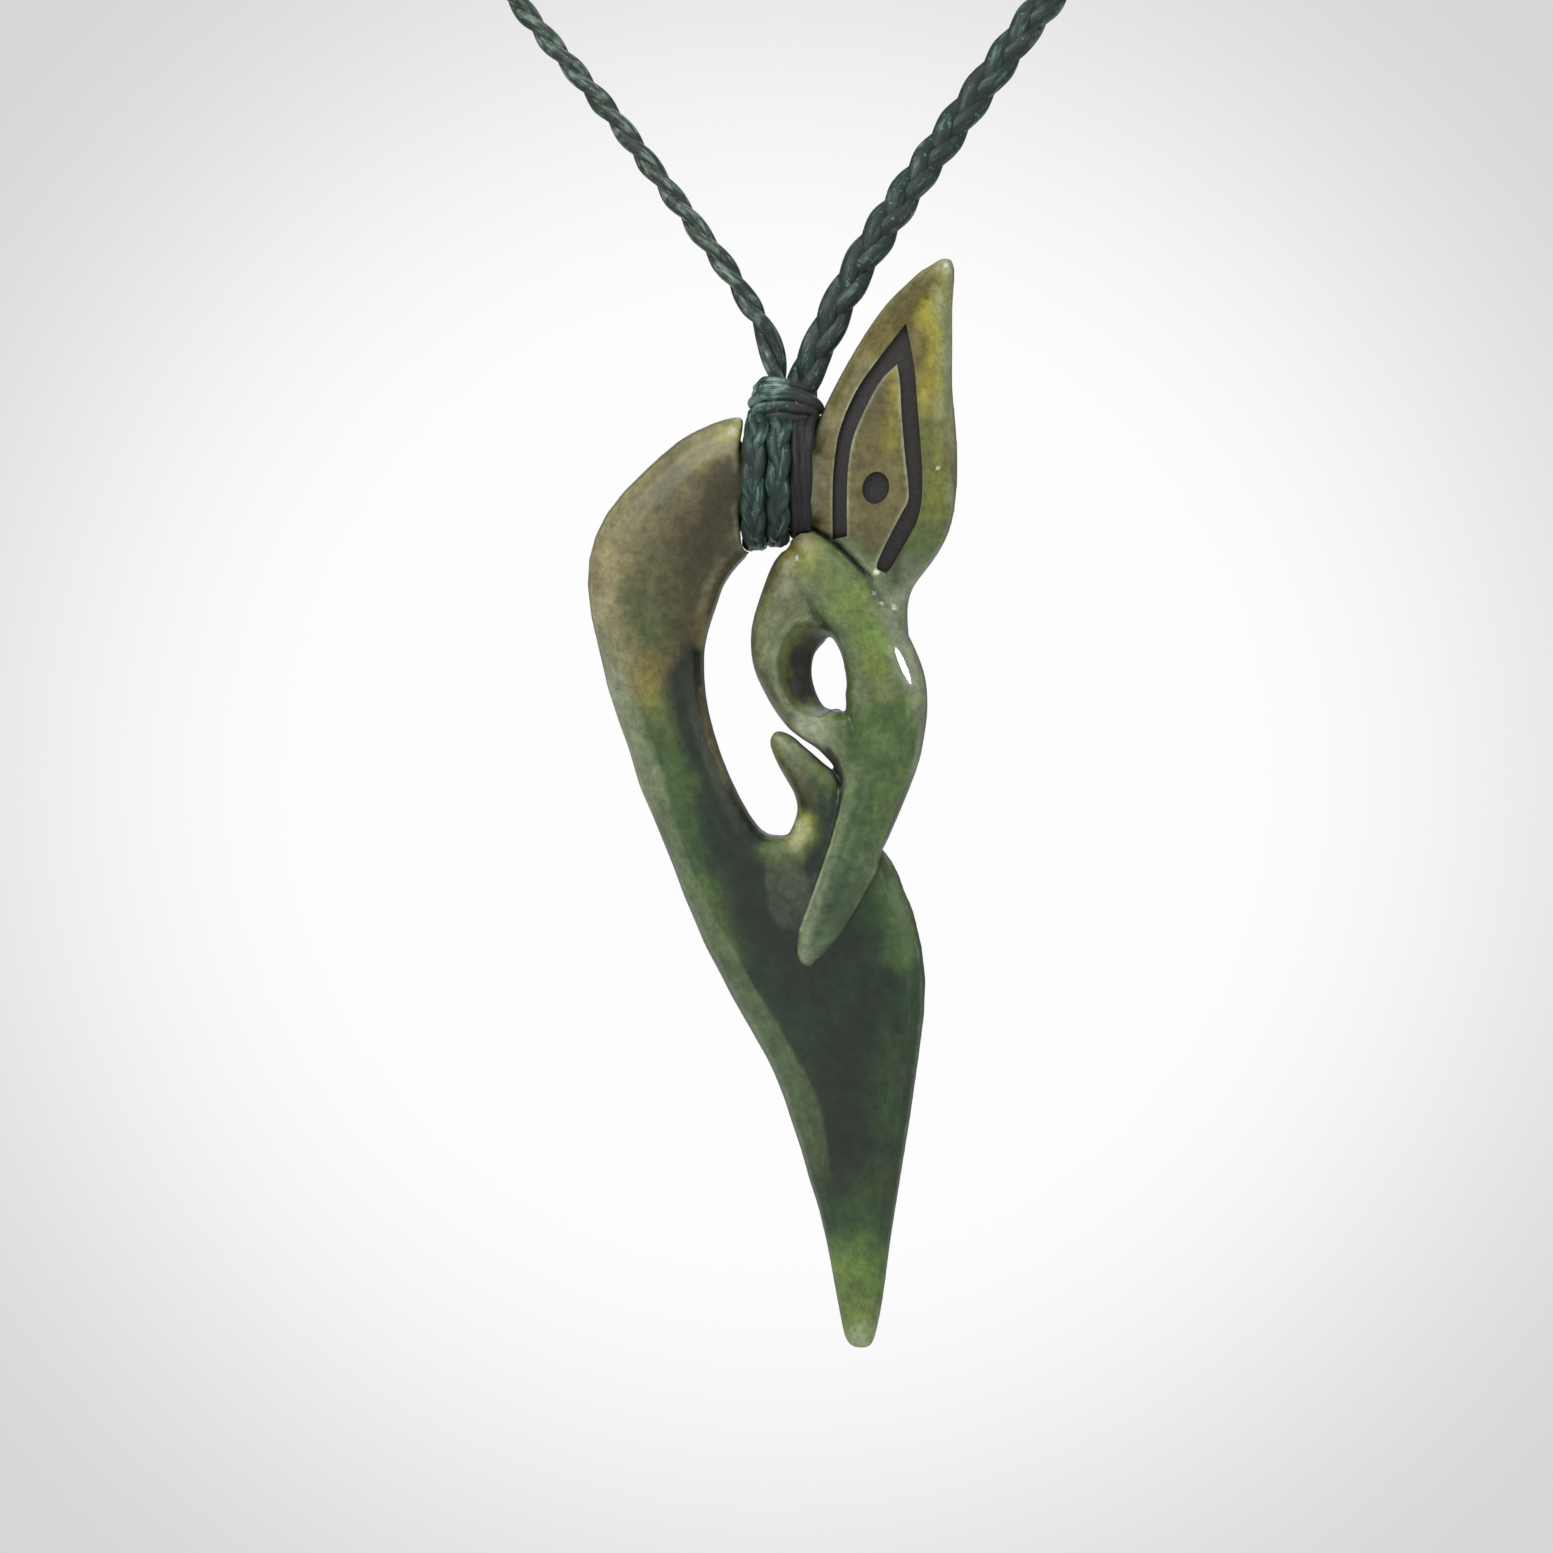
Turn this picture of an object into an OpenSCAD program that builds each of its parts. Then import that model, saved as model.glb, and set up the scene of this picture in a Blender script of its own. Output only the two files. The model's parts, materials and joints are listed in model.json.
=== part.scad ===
// Pendant of carved green stone on a necklace of waxed cord. The origin is where the cord bears on the
// nape, +Z is up, and the front of the stone faces -Y. All sizes are in millimetres.

/* [Stone] */
// Thickness of the arm where it is fullest
arm_depth = 5; // [4.6:0.1:5.2]
// Thickness of the head at its cheek
head_depth = 4.4; // [4:0.1:4.8]
// Thickness of the strand that crosses over the blade and ends in the tongue
strand_depth = 4.4; // [4:0.1:4.6]
// Thickness of the left strand of the loop
curl_depth = 4.2; // [3.8:0.1:4.4]
// Thickness of the barb
barb_depth = 3.4; // [3:0.1:3.8]
// Squareness of every cross-section, where 2 is an ellipse
squareness = 2.4; // [2:0.1:2.8]

/* [Bridge and lashing] */
// Radius of the round bridge that the lashing goes over
bridge_r = 2.5; // [2.3:0.05:2.5]
// Play between the bridge and the lashing
bridge_play = 0.2; // [0.15:0.05:0.25]
// Thickness of the two plaited turns
plait_thick = 1.15; // [0.9:0.05:1.15]
// Thickness of the narrow turn beside the head
narrow_thick = 0.6; // [0.4:0.05:0.6]
// Radius of the collar wound round both cords
collar_r = 2.1; // [1.9:0.05:2.1]
// Height of the collar
collar_h = 2.5; // [2.2:0.1:2.5]

/* [Cords] */
// Diameter of the thin twisted cord
twisted_d = 1.3; // [1.1:0.1:1.4]
// Diameter of the thick braided cord
braided_d = 2.4; // [2:0.1:2.4]
// Radius of the knot at the nape
knot_r = 2.4; // [2:0.1:2.6]
// Length of the knot at the nape
knot_l = 7; // [6:0.5:7]

/* [Hidden] */

// Centre of the bridge, about which the stone swings on a line along X
bridge_centre = [0, -126, -110];

// Columns of the stone's tables. Places are measured from the centre of the bridge.
LEFT_X = 0;
LEFT_Z = 1;
RIGHT_X = 2;
RIGHT_Z = 3;
FORWARD = 4;
DEPTH_SHARE = 5;
section_sides = 18;
section_steps = 3;

// From the bridge round the arm and down the blade to its point: outer edge, then inner edge
body_rows = [
    [-1.3, 3.9, -1.3, -3.4, 0, 1],
    [-3.0, 3.9, -2.5, -4.6, 0, 1],
    [-4.8, 3.4, -3.4, -5.9, 0, 1],
    [-6.9, 2.0, -3.8, -7.0, 0, 1],
    [-10.4, -1.7, -4.4, -8.9, 0, 1],
    [-11.5, -5.9, -4.6, -10.7, 0, 0.98],
    [-10.2, -12.0, -4.3, -13.6, 0, 0.94],
    [-8.0, -18.1, -3.1, -17.3, 0, 0.9],
    [-6.2, -22.6, -1.2, -20.6, -0.1, 0.88],
    [-5.5, -24.5, 0.6, -21.1, -0.15, 0.88],
    [-4.6, -26.6, 3.6, -21.0, -0.25, 0.88],
    [-3.7, -28.6, 6.3, -21.9, -0.25, 0.88],
    [-2.8, -30.5, 7.6, -24.3, -0.25, 0.87],
    [-0.8, -34.1, 8.7, -29.6, -0.25, 0.85],
    [1.0, -38.6, 8.0, -36.2, -0.2, 0.78],
    [1.9, -41.6, 7.3, -40.7, -0.15, 0.7],
    [2.8, -45.1, 6.6, -45.1, -0.1, 0.6],
    [3.5, -48.8, 6.1, -48.8, 0, 0.48],
    [4.0, -51.1, 5.6, -51.1, 0, 0.34],
    [4.6, -51.6, 5.2, -51.6, 0, 0.2]
];

// From the pointed top of the head down to where it goes under the crossing strand
head_rows = [
    [9.7, 13.55, 10.2, 13.6, 0, 0.2],
    [9.0, 13.1, 10.4, 13.1, 0, 0.38],
    [8.2, 12.6, 10.4, 12.4, 0, 0.5],
    [6.5, 11.0, 10.3, 10.7, 0, 0.7],
    [5.0, 8.9, 10.3, 8.5, 0, 0.86],
    [3.6, 6.5, 10.3, 5.9, 0, 0.96],
    [2.6, 4.5, 10.5, 3.7, 0, 1],
    [1.9, 2.8, 10.6, 1.6, 0, 1],
    [1.8, 0.7, 10.5, -0.8, 0, 1],
    [1.8, -1.1, 10.1, -2.6, 0, 0.98],
    [1.9, -2.6, 9.0, -4.4, -0.1, 0.93],
    [3.0, -4.2, 7.9, -5.9, -0.2, 0.85],
    [4.5, -6.2, 7.6, -7.4, -0.2, 0.8],
    [5.7, -8.3, 7.7, -9.2, -0.2, 0.7]
];

// From the top of the loop over its right side and down across the blade to the tip of the tongue
strand_rows = [
    [1.1, -2.8, 1.7, -2.5, 0.7, 0.5],
    [0.5, -4.0, 3.4, -3.6, 0.7, 0.85],
    [0.9, -5.6, 4.8, -5.0, 0.7, 0.97],
    [1.9, -7.4, 5.9, -6.5, 0.7, 1],
    [3.1, -9.0, 6.9, -7.6, 0.7, 1],
    [3.6, -9.9, 7.8, -9.2, 0.7, 1],
    [4.0, -11.4, 8.6, -11.2, 0.7, 1],
    [4.1, -13.1, 8.8, -13.1, 0.7, 1],
    [4.0, -15.1, 8.6, -15.0, 0.7, 1],
    [3.8, -17.4, 8.1, -17.1, 0.8, 0.98],
    [2.9, -21.1, 6.4, -21.2, 0.9, 0.94],
    [2.3, -23.0, 5.3, -23.3, 1, 0.9],
    [1.6, -25.0, 4.2, -25.4, 1, 0.84],
    [1.0, -26.6, 3.1, -27.2, 1, 0.76],
    [0.8, -27.8, 2.1, -28.5, 0.9, 0.66],
    [1.1, -28.5, 1.6, -28.7, 0.8, 0.5]
];

// From the top of the loop round its left side and under the crossing strand
curl_rows = [
    [1.1, -2.7, 1.9, -3.0, 0.5, 0.4],
    [0.3, -3.8, 1.9, -4.6, 0.5, 0.8],
    [-0.4, -4.7, 2.0, -5.8, 0.4, 0.95],
    [-1.1, -6.5, 2.4, -7.2, 0.3, 1],
    [-1.6, -8.2, 2.9, -9.0, 0.2, 1],
    [-1.7, -9.6, 2.1, -10.0, 0.2, 1],
    [-1.5, -10.9, 1.9, -11.1, 0.2, 1],
    [-1.0, -12.1, 2.1, -12.0, 0.2, 1],
    [-0.2, -13.5, 2.6, -12.9, 0.2, 1],
    [0.8, -14.7, 3.6, -13.2, 0.2, 1],
    [2.1, -15.4, 4.6, -13.8, 0.2, 1],
    [3.0, -16.3, 4.9, -15.2, 0.2, 1],
    [3.6, -17.5, 5.5, -16.7, 0.2, 1]
];

// From the tip of the barb down into the blade
barb_rows = [
    [-0.5, -15.1, -0.2, -14.7, 0, 0.35],
    [-0.5, -15.6, 0.5, -14.9, 0, 0.6],
    [-0.1, -16.6, 1.6, -15.7, 0, 0.85],
    [0.4, -17.5, 2.6, -16.6, 0, 1],
    [0.9, -18.4, 3.5, -17.5, 0, 1.05],
    [1.1, -19.3, 4.1, -18.8, 0, 1.1],
    [0.9, -20.2, 4.2, -20.3, 0, 1.1],
    [0.5, -21.1, 4.1, -21.8, 0, 1.1],
    [0.0, -22.4, 3.9, -23.3, 0, 1.1]
];

// The slanting scoop that opens the loop's hole towards the front: centre x, centre z, half width,
// half height and how far forward of the middle of the stone
scoop_rows = [
    [3.1, -11.3, 0.95, 1.9, -1.5],
    [2.9, -11.2, 1.15, 2.2, 0],
    [2.2, -11.0, 1.9, 2.7, 1.7],
    [1.6, -10.8, 2.6, 3.3, 2.8]
];

// Reaches of the lashing along X, from left to right
left_turn_x = [-2.4, -1.1];
middle_turn_x = [-0.95, 0.6];
right_turn_x = [0.75, 1.7];
turn_rounding = 0.25;
plait_in_r = bridge_r + bridge_play;
plait_out_r = plait_in_r + plait_thick;
narrow_out_r = plait_in_r + narrow_thick;
seat_play = 0.12;
bridge_taper = 1.2;
bridge_end_r = 1.5;

collar_x = 0.25;
collar_gap = 0.1;
collar_z = plait_out_r + collar_gap;
collar_rounding = 0.7;

// Route of each cord from the collar to the nape, along its middle
twisted_start = [
    [-0.2, -126, -103.2], [-0.9, -125.8, -100.8], [-1.9, -125.4, -99], [-3.4, -124.6, -96.7],
    [-6.1, -122.7, -93.1], [-10.7, -119, -87.1], [-15.9, -115, -80.9]
];
braided_start = [
    [1.7, -126, -102.9], [2.5, -125.8, -101.3], [3.5, -125.4, -99.1], [5.5, -124, -95.5],
    [7.9, -121.7, -91.9], [10.5, -119, -88.2], [15.8, -115, -80.9]
];
// The rest of the route on the right, which the left cord mirrors
neck_route = [
    [24, -107.5, -70], [34.5, -98, -58.5], [45, -88, -47.5], [53.5, -78, -38], [58.5, -68, -30.5],
    [60, -57, -24], [58, -42, -18], [52, -27.5, -12], [42.5, -15, -7], [30, -5.5, -3.2],
    [15.5, 0.6, -0.8], [3.7, 2.4, 0]
];
cord_sides = 8;
twisted_rings = 44;
braided_rings = 36;

// A place along a list of rows or points, eased by the rows on both sides
function eased(rows, at) =
    let (
        last = len(rows) - 1,
        i = min(floor(at), last - 1),
        t = at - i,
        a = rows[max(i - 1, 0)],
        b = rows[i],
        c = rows[i + 1],
        d = rows[min(i + 2, last)]
    )
    (2 * b + (c - a) * t + (2 * a - 5 * b + 4 * c - d) * t * t + (3 * b - a - 3 * c + d) * t * t * t) / 2;

// One power of a sine or cosine that squares off a circle
function squared(value) = sign(value) * pow(abs(value), 2 / squareness);

// The points round one cross-section of a limb
function section(row, depth) = [
    for (k = [0:section_sides - 1])
        let (
            across = squared(cos(360 * k / section_sides)),
            out = squared(sin(360 * k / section_sides)),
            mid_x = (row[LEFT_X] + row[RIGHT_X]) / 2,
            mid_z = (row[LEFT_Z] + row[RIGHT_Z]) / 2
        )
        [
            mid_x + across * (row[RIGHT_X] - row[LEFT_X]) / 2,
            -row[FORWARD] - out * row[DEPTH_SHARE] * depth / 2,
            mid_z + across * (row[RIGHT_Z] - row[LEFT_Z]) / 2
        ]
];

// The points round one level of the scoop
function scoop_ring(row) = [
    for (k = [0:section_sides - 1])
        let (turn = 360 * k / section_sides)
        [row[0] + row[2] * cos(turn), -row[4], row[1] + row[3] * sin(turn)]
];

// Direction of a route at one place
function heading(points, at) =
    let (
        reach = 0.05,
        ahead = eased(points, min(at + reach, len(points) - 1)),
        behind = eased(points, max(at - reach, 0)),
        way = ahead - behind
    )
    way / norm(way);

// The points round a cord at one place on its route
function cord_ring(points, at, d) =
    let (
        middle = eased(points, at),
        way = heading(points, at),
        level = cross([0, 0, 1], way),
        side = level / norm(level),
        rise = cross(way, side)
    )
    [
        for (k = [0:cord_sides - 1])
            let (turn = 360 * k / cord_sides)
            middle + d / 2 * (side * cos(turn) + rise * sin(turn))
    ];

// One closed skin through rings of equal length
module skin(rings) {
    n = len(rings[0]);
    last = len(rings) - 1;
    points = [for (ring = rings) for (p = ring) p];
    walls = [
        for (i = [0:last - 1]) for (k = [0:n - 1])
            let (next = (k + 1) % n)
            each [
                [i * n + k, (i + 1) * n + next, i * n + next],
                [i * n + k, (i + 1) * n + k, (i + 1) * n + next]
            ]
    ];
    start_cap = [for (k = [0:n - 1]) k];
    end_cap = [for (k = [0:n - 1]) last * n + n - 1 - k];
    polyhedron(points, concat(walls, [start_cap, end_cap]), convexity = 6);
}

module limb(rows, depth) {
    steps = (len(rows) - 1) * section_steps;
    skin([for (s = [0:steps]) section(eased(rows, s / section_steps), depth)]);
}

module scoop() {
    skin([for (row = scoop_rows) scoop_ring(row)]);
}

module along_x(from, to) {
    translate([from, 0, 0]) rotate([0, 90, 0]) children();
}

// The seat that the lashing lies in, cut round the bridge
module lashing_seat() {
    middle = right_turn_x[0] - seat_play / 2;
    left = left_turn_x[0] - seat_play;
    right = right_turn_x[1] + seat_play;
    along_x(left) cylinder(r = plait_out_r + seat_play, h = middle - left, $fn = 64);
    along_x(middle) cylinder(r = narrow_out_r + seat_play, h = right - middle, $fn = 64);
}

// The round bridge, which tapers into the head
module bridge() {
    left = left_turn_x[0] - 1;
    straight = right_turn_x[1] - left;
    along_x(left)
    rotate_extrude($fn = 48)
    polygon([
        [0, 0], [bridge_r, 0], [bridge_r, straight],
        [bridge_end_r, straight + bridge_taper], [0, straight + bridge_taper]
    ]);
}

module manaia_stone() {
    color("darkolivegreen")
    translate(bridge_centre)
    resize([0, 0, 0])
    union() {
        difference() {
            union() {
                limb(body_rows, arm_depth);
                limb(head_rows, head_depth);
                limb(strand_rows, strand_depth);
                limb(curl_rows, curl_depth);
                limb(barb_rows, barb_depth);
            }
            lashing_seat();
            scoop();
        }
        bridge();
    }
}

// A bar with rounded corners, centred across and standing on its lower edge
module rounded_bar(from_r, to_r, height, rounding) {
    translate([from_r, rounding]) square([to_r - from_r, height - 2 * rounding]);
    translate([from_r + rounding, 0]) square([to_r - from_r - 2 * rounding, height]);
    for (r = [from_r + rounding, to_r - rounding]) {
        for (z = [rounding, height - rounding]) translate([r, z]) circle(r = rounding, $fn = 32);
    }
}

// One turn of the lashing round the bridge
module turn(reach, out_r) {
    translate(bridge_centre)
    along_x(reach[0])
    rotate_extrude($fn = 96)
    rounded_bar(plait_in_r, out_r, reach[1] - reach[0], turn_rounding);
}

module lashing_turn_left() {
    color("darkslategray") turn(left_turn_x, plait_out_r);
}

module lashing_turn_middle() {
    color("darkslategray") turn(middle_turn_x, plait_out_r);
}

module lashing_turn_right() {
    color("black") turn(right_turn_x, narrow_out_r);
}

// A drum with rounded rims, standing on the XY plane
module drum(r, h, rounding) {
    rotate_extrude($fn = 64) {
        square([r - rounding, h]);
        translate([0, rounding]) square([r, h - 2 * rounding]);
        for (z = [rounding, h - rounding]) translate([r - rounding, z]) circle(r = rounding, $fn = 32);
    }
}

module collar_wrap() {
    color("darkslategray")
    translate(bridge_centre + [collar_x, 0, collar_z])
    drum(collar_r, collar_h, collar_rounding);
}

// A cord swept along its route
module cord(points, d, rings) {
    last = len(points) - 1;
    skin([for (i = [0:rings - 1]) cord_ring(points, last * i / (rings - 1), d)]);
}

module twisted_cord() {
    left_route = [for (p = neck_route) [-p.x, p.y, p.z]];
    color("darkslategray") cord(concat(twisted_start, left_route), twisted_d, twisted_rings);
}

module braided_cord() {
    color("darkslategray") cord(concat(braided_start, neck_route), braided_d, braided_rings);
}

module nape_knot() {
    color("darkslategray")
    translate([0, knot_r, 0])
    along_x(-knot_l / 2)
    drum(knot_r, knot_l, 1.2);
}

manaia_stone();
lashing_turn_left();
lashing_turn_middle();
lashing_turn_right();
collar_wrap();
twisted_cord();
braided_cord();
nape_knot();
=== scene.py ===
"""Carved green stone pendant on a necklace of waxed cord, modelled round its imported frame."""

import json
import math

import bmesh
import bpy
import numpy as np
from bpy.props import FloatProperty, FloatVectorProperty, IntProperty, PointerProperty
from mathutils import Matrix, Vector, noise as noise_field
from mathutils.bvhtree import BVHTree
from mathutils.kdtree import KDTree

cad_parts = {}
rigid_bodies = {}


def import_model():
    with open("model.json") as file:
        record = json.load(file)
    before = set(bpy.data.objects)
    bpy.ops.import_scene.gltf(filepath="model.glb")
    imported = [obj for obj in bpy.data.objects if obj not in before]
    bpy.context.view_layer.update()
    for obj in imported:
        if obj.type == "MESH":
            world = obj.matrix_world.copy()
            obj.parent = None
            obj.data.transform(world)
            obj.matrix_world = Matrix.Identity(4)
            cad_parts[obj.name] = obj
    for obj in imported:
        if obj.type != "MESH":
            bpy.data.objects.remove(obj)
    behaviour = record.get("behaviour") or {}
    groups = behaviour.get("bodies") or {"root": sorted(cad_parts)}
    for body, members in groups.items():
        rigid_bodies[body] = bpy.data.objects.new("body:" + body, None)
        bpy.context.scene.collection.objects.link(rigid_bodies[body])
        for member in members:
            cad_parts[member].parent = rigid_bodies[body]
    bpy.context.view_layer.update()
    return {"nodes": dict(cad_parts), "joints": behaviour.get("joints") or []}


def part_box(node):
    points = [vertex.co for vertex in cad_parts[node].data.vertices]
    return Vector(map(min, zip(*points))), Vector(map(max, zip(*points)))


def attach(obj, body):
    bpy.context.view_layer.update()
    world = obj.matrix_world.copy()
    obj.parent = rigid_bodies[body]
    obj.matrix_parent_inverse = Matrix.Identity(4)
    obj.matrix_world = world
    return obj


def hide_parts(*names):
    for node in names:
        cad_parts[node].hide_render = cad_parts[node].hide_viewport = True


bl_info = {
    "name": "Carved Stone Pendant",
    "version": (1, 0, 0),
    "blender": (4, 5, 0),
    "location": "3D View > Sidebar > Pendant",
    "description": "Models a carved stone pendant, its lashing and its waxed neck cords",
    "category": "Add Mesh",
}

for leftover in list(bpy.data.objects):
    bpy.data.objects.remove(leftover)

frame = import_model()
swing = frame["joints"][0]
hinge = Vector(swing["pos_m"])

MM = 0.001
FRONT = Vector((0, -1, 0))
# The middle of the picture on the stone: x and z in millimetres
PICTURE_MIDDLE = (-0.21, -127.4)
# Fixes the smooth noise that strands and colour edges follow, so that each run gives the same result
NOISE_SEED = 2

# Places on the stone are (x, z) in millimetres from the hinge line, as seen from the front.

# The engraved line round the eye, up its left side to the point and down its right side:
# outer edge x, z, then inner edge x, z
EYE_LEFT = [
    (3.15, -3.2, 4.02, -3.0),
    (3.14, -0.84, 4.01, -0.84),
    (3.22, 1.15, 4.1, 1.26),
    (3.6, 3.44, 4.44, 3.06),
    (4.59, 5.76, 5.34, 5.1),
    (5.97, 7.74, 6.12, 6.42),
    (7.56, 9.78, 7.02, 7.3),
]
EYE_RIGHT = [
    (7.56, 9.78, 7.02, 7.3),
    (8.04, 7.2, 7.2, 6.06),
    (8.23, 4.98, 7.26, 4.68),
    (8.45, 2.22, 7.47, 2.04),
    (8.54, 0.36, 7.68, 0.12),
    (8.46, -1.02, 7.68, -0.84),
    (8.22, -2.1, 7.32, -1.56),
    (7.65, -3.18, 6.72, -2.68),
    (6.72, -4.8, 5.88, -4.44),
    (6.36, -5.22, 5.82, -4.98),
]
PUPIL_PLACE = (5.74, -0.1)
PUPIL_SIZE = (0.8, 0.98)
PUPIL_TILT = math.radians(14)

# Where the flat along the left edge of the blade begins, from the arm down
BLADE_RIDGE = [
    (-9.2, -11.5),
    (-7.7, -15.2),
    (-6.4, -20.0),
    (-4.3, -25.0),
    (-2.4, -28.5),
    (-0.6, -31.5),
    (0.6, -33.6),
    (1.7, -35.6),
    (2.5, -37.6),
    (2.9, -40.0),
    (3.2, -42.6),
]
# Where the flat along the right of the crossing strand begins
STRAND_RIDGE = [(5.5, -6.2), (6.0, -7.6), (6.5, -9.2), (7.25, -11.4), (7.7, -13.0), (7.6, -15.2)]
# Flat facets beside a ridge: ridge, side, slope, reach and the length over which an end fades out
FACETS = [(BLADE_RIDGE, -1, 0.4, 3.2, 2.5), (STRAND_RIDGE, 1, 0.7, 1.8, 1.2)]
# The cut between the head and the crossing strand, and its half width and depth
HEAD_SEAM = [(1.5, -2.3), (2.4, -2.8), (3.3, -3.4), (4.3, -4.4), (5.5, -5.6)]
SEAM_SIZE = (0.17, 0.35)
# Parts of the shape that are moved a little: line, radius, shift in x and shift in z
NUDGES = [
    ([(-10.4, -12.5), (-8.6, -17.4)], 3.0, -0.1, -0.03),
    ([(-8.0, -18.6), (-6.0, -23.2), (-4.4, -26.4)], 3.6, -0.2, -0.08),
    ([(-3.4, -28.4), (-1.2, -32.4)], 3.0, -0.1, -0.05),
    ([(0.9, -38.6), (1.6, -41.2)], 2.4, -0.08, -0.03),
    ([(8.3, -5.4), (9.2, -4.0)], 2.4, 0.1, -0.1),
    ([(-2.9, 3.9), (-2.2, 3.9)], 1.8, 0.0, 0.2),
    ([(-2.6, 3.8), (-2.4, 3.8)], 1.8, 0.24, 0.0),
    ([(-2.6, -3.4), (-2.9, -3.8)], 1.6, 0.12, 0.0),
    ([(7.0, -22.6), (7.6, -24.0)], 1.6, -0.14, -0.06),
    ([(3.7, -13.3), (4.1, -13.0)], 0.7, 0.04, -0.12),
    ([(8.8, 13.0), (9.4, 13.3)], 1.6, -0.04, 0.05),
    ([(2.0, -15.1), (2.9, -15.8)], 1.2, -0.06, -0.14),
    ([(0.1, -20.6), (0.7, -20.8)], 1.6, 0.04, 0.14),
    ([(3.7, -9.8), (4.0, -10.6)], 1.2, -0.1, -0.06),
    ([(2.7, -13.3), (3.6, -13.5)], 0.9, 0.0, -0.2),
    ([(4.3, -12.6), (4.3, -13.2)], 0.9, -0.16, 0.0),
    ([(1.2, -3.2), (1.5, -3.0)], 1.0, -0.12, 0.04),
    ([(5.0, -23.2), (4.2, -24.8), (3.1, -26.9)], 1.9, 0.45, -0.08),
    ([(1.8, -28.3), (2.4, -28.2)], 1.4, 0.08, -0.26),
]

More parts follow.
